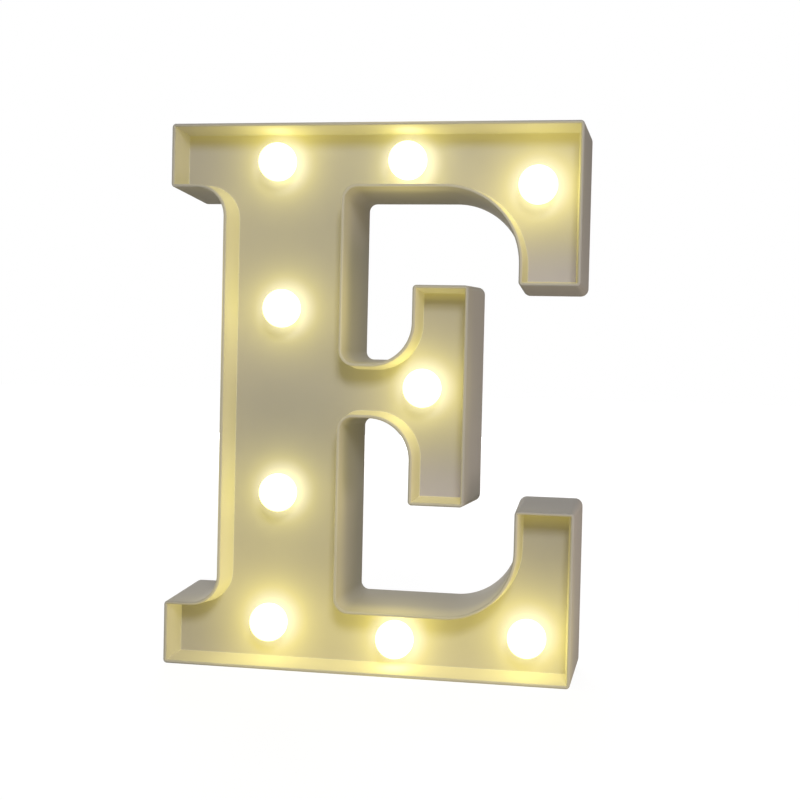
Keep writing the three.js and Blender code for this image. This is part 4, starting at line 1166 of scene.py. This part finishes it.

# %% [markdown]
# ## Lit from inside, by a painted glow
#
# Each bulb throws a yellow glow on the tray, and the thin walls let a little of it through to their outside,
# in front of the floor. Light that spreads from nine small bulbs stays speckled for a long time, and it gets
# lost when a model is exported. So that light is painted into the plastic's emission colour: every bulb adds
# a share of painted glow that falls off with distance. A painted pale ring lies close round each bulb, where
# its light burns the yellow out. Under a wall that closes an arm at its top, the shade is painted yellow too,
# for the light that the wall throws back. At an arm's lower end, far from the bulbs, painted bluish daylight
# makes the floor greyer. The bulbs aren't equally bright, so each has one share of painted glow for the tray
# and one for the painted light that comes through the walls.

# %% Painted glow values
FLOOR_GLOW = {
    "colour": (1.0, 0.79, 0.11, 1.0), "strength": 0.45, "reach": 28 * MM, "depths": (1.0, 1.0, 0.0, 1.0),
    "halo": (9.5, 16.0, (0.42, 0.39, 0.56, 1.0)),
    "under_walls": (
        (LETTER_HEIGHT, -7.5, 0.0), (SLAB_TOP, -4.0, SLAB_LEFT), (LOWER_SERIF_TOP, -7.5, LOWER_SERIF_LEFT),
    ),
    "over_walls": ((SLAB_BOTTOM, 26.0, SLAB_LEFT), (UPPER_SERIF_BOTTOM, 22.0, UPPER_SERIF_LEFT)),
}
TRAY_GLOW = {
    "colour": (1.0, 0.83, 0.27, 1.0), "strength": 0.36, "reach": 55 * MM, "depths": (0.6, 1.0, 0.2, 1.0),
    "halo": (9.5, 15.0, (0.69, 0.64, 0.92, 1.0)),
}
WALL_GLOW = {
    "colour": (1.0, 0.82, 0.18, 1.0), "strength": 0.45, "reach": 26 * MM, "depths": (1.0, 0.4, 0.0, 19.0),
}
# Bluish daylight painted on the arms' lower ends, far from the bulbs.
PAINTED_DAYLIGHT = (0.26, 0.24, 0.62, 1.0)
WALL_SHARE, WALL_FOOT, WALL_BESIDE = 0.3, 2.5, 15.0
BULB_SHARES = {
    "top_right": (0.85, 0.1), "top_middle": (0.1, 1.0), "top_left": (0.6, 0.1),
    "stem_upper": (0.6, 2.8), "middle": (0.6, 0.4), "stem_lower": (0.45, 2.1),
    "bottom_left": (1.1, 0.7), "bottom_middle": (0.8, 1.2), "bottom_right": (0.9, 0.7),
}
print({name: shares[0] for name, shares in BULB_SHARES.items()})

# %% Plastic with painted glow
def bulb_point(place):
    """A bulb's centre in metres."""
    return Vector((place[0] - LETTER_WIDTH / 2, bulb_centre - LETTER_DEPTH / 2, place[1])) * MM


def wall_light(finish, edge, reach, left_end):
    """A share of painted light that fades out from the foot of a wall that closes an arm.

    edge is the height of the wall's outer edge. reach is how far the light goes from the foot
    of its inner face, upwards, or downwards where it is negative. left_end is where the wall
    starts. All are in millimetres.
    """
    up, foot = finish.measure("up"), edge + math.copysign(WALL_FOOT, reach)
    fading = finish.ramp(up, (foot + reach) * MM, foot * MM, 0.0, WALL_SHARE)
    within_arm = finish.ramp(up, edge * MM, foot * MM)
    beside = finish.ramp(finish.measure("across"), (left_end - WALL_BESIDE) * MM, left_end * MM)
    return fading * within_arm * beside


def glow_painted_plastic(name, colour, strength, reach, depths, halo=None, under_walls=(), over_walls=()):
    """Moulded plastic with a painted glow: the sum over bulbs of share / (1 + (distance / reach)^2)^2.

    depths gives the glow's weight near the front and far behind it, and the depths in millimetres between
    which the one turns into the other. halo gives the distances between which the painted pale ring round
    each bulb fades, and its colour. Only plastic with a halo is inside the tray. under_walls lists what
    wall_light needs for each wall that closes an arm at its top and throws the glow back, painted as more
    glow, and over_walls the same for the walls at the lower ends, where painted daylight lies.
    """
    finish = moulded(name, Emission_Strength=strength)
    glow = ring = 0.0
    for bulb, place in bulb_places.items():
        away = finish.distance(bulb_point(place))
        inside_share, outside_share = BULB_SHARES[bulb]
        glow = glow + (inside_share if halo else outside_share) / (1.0 + (away / reach) ** 2.0) ** 2.0
        if halo:
            ring = ring + finish.ramp(away, halo[0] * MM, halo[1] * MM, 1.0, 0.0)
    for wall in under_walls:
        glow = glow + wall_light(finish, *wall)
    near, far, start, end = depths
    weight = finish.ramp(finish.measure("in"), start * MM, end * MM, near, far)
    light = finish.blend(glow.clamped() * weight, BLACK, colour)
    for wall in over_walls:
        light = finish.blend(wall_light(finish, *wall), light, PAINTED_DAYLIGHT)
    if halo:
        light = finish.blend(ring.clamped() * weight, light, halo[2])
    # Painted light: bulb glow, wall light, daylight and pale rings, all in the emission colour.
    finish.feed("Emission Color", light)
    finish.material.cycles.emission_sampling = "NONE"
    return finish


for glow in (FLOOR_GLOW, TRAY_GLOW, WALL_GLOW):
    print("glow reaches", round(glow["reach"] / MM), "mm")

# %% [markdown]
# The shell's mesh has three tags, so it takes three materials in the order of their numbers, each with its
# own painted glow.

# %% Shell materials with painted glow
shell_painted_glow_materials = {
    FLOOR: glow_painted_plastic("floor_plastic_painted_glow", **FLOOR_GLOW),
    TRAY: glow_painted_plastic("tray_plastic_painted_glow", **TRAY_GLOW),
    OUTSIDE: glow_painted_plastic("wall_plastic_painted_glow", **WALL_GLOW),
}
for tag in sorted(shell_painted_glow_materials):
    shell.data.materials.append(shell_painted_glow_materials[tag].material)
print("the tray and walls glow round", len(bulb_places), "bulbs")

# %% [markdown]
# ## Milky bulbs
#
# The bulbs are milky and so bright that they burn out to white. Their light on the tray is
# yellow, so the emission is a warm colour at several times the strength of white, a little
# deeper towards the neck, where the lamp's tip sits in the plastic.

# %% Bulb finish
MILK = (0.93, 0.90, 0.82, 1.0)
LIGHT_FRONT, LIGHT_BACK = (1.0, 0.95, 0.24, 1.0), (1.0, 0.94, 0.20, 1.0)
BULB_STRENGTH = 3.7

bulb_finish = Finish("bulb_milky", Base_Color=MILK, Emission_Strength=BULB_STRENGTH)
towards_neck = bulb_finish.ramp(bulb_finish.measure("in"), bulb_centre * MM, POCKET_DEPTH * MM)
bulb_finish.feed("Emission Color", bulb_finish.blend(towards_neck, LIGHT_FRONT, LIGHT_BACK))
bulb_finish.dulled(least=0.22, spread=0.08, spots=300.0)
print("bulb strength", BULB_STRENGTH)

# %% [markdown]
# ## The inner pieces
#
# Wires, lamps, contacts and the switch are right as they were packed and only need a finish.
# Plated steel has dull spots where it was handled, the lamps are clear yellow resin, and the
# sleeves, the cell's wrap, the resistor's paint and the switch's board are cloudy colours.

# %% Other finishes
def clouded(name, blotches, dark, pale, **constants):
    """A finish whose colour wanders between two, with so many blotches to the metre."""
    finish = Finish(name, **constants)
    return finish.feed("Base Color", finish.blend(finish.noise(blotches), dark, pale))


steel = Finish("plated_steel", Base_Color=(0.42, 0.43, 0.44, 1.0), Metallic=1.0)
steel.dulled(least=0.40, spread=0.2, spots=900.0)
resin = Finish("clear_resin", Base_Color=(0.95, 0.86, 0.55, 1.0), IOR=1.5)
resin.dulled(least=0.1, spread=0.06, spots=600.0)
wrap = clouded("cell_wrap", 40.0, (0.045, 0.10, 0.17, 1), (0.055, 0.115, 0.19, 1), Roughness=0.35)
brass = clouded("cell_band", 40.0, (0.50, 0.40, 0.22, 1), (0.56, 0.45, 0.26, 1), Roughness=0.35)
plain = {
    "red_sleeve": (200.0, (0.42, 0.02, 0.02, 1), (0.5, 0.035, 0.03, 1)),
    "black_sleeve": (200.0, (0.012, 0.012, 0.013, 1), (0.022, 0.022, 0.024, 1)),
    "resistor_body": (500.0, (0.5, 0.34, 0.17, 1), (0.58, 0.41, 0.22, 1)),
    "switch_board": (400.0, (0.16, 0.10, 0.05, 1), (0.2, 0.13, 0.07, 1)),
    "black_plastic": (300.0, (0.015, 0.015, 0.016, 1), (0.028, 0.028, 0.03, 1)),
}
finishes = {name: clouded(name, *facts) for name, facts in plain.items()}
finishes |= {"plated_steel": steel, "clear_resin": resin, "cell_wrap": wrap}
finishes |= {"white_plastic": cover_finish, "milky_plastic": bulb_finish}
print("finishes for", sorted(finishes))

# %% [markdown]
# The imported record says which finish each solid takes. Solids that a new piece stands for take
# theirs too, although they are hidden.

# %% Put the finishes on
slot_of = {part["node"]: part["material_slot"] for part in frame["record"]["subparts"]}
for node, solid in frame["nodes"].items():
    solid.data.materials.clear()
    solid.data.materials.append(finishes[slot_of[node]].material)

for piece in (cover, door, knob, *bulbs, *springs, *screws):
    piece.data.materials.append(finishes[slots[piece]].material)
for piece in cells:
    for finish in (wrap, steel, brass):
        piece.data.materials.append(finish.material)
print("finishes on", len(frame["nodes"]), "solids and on every new piece")
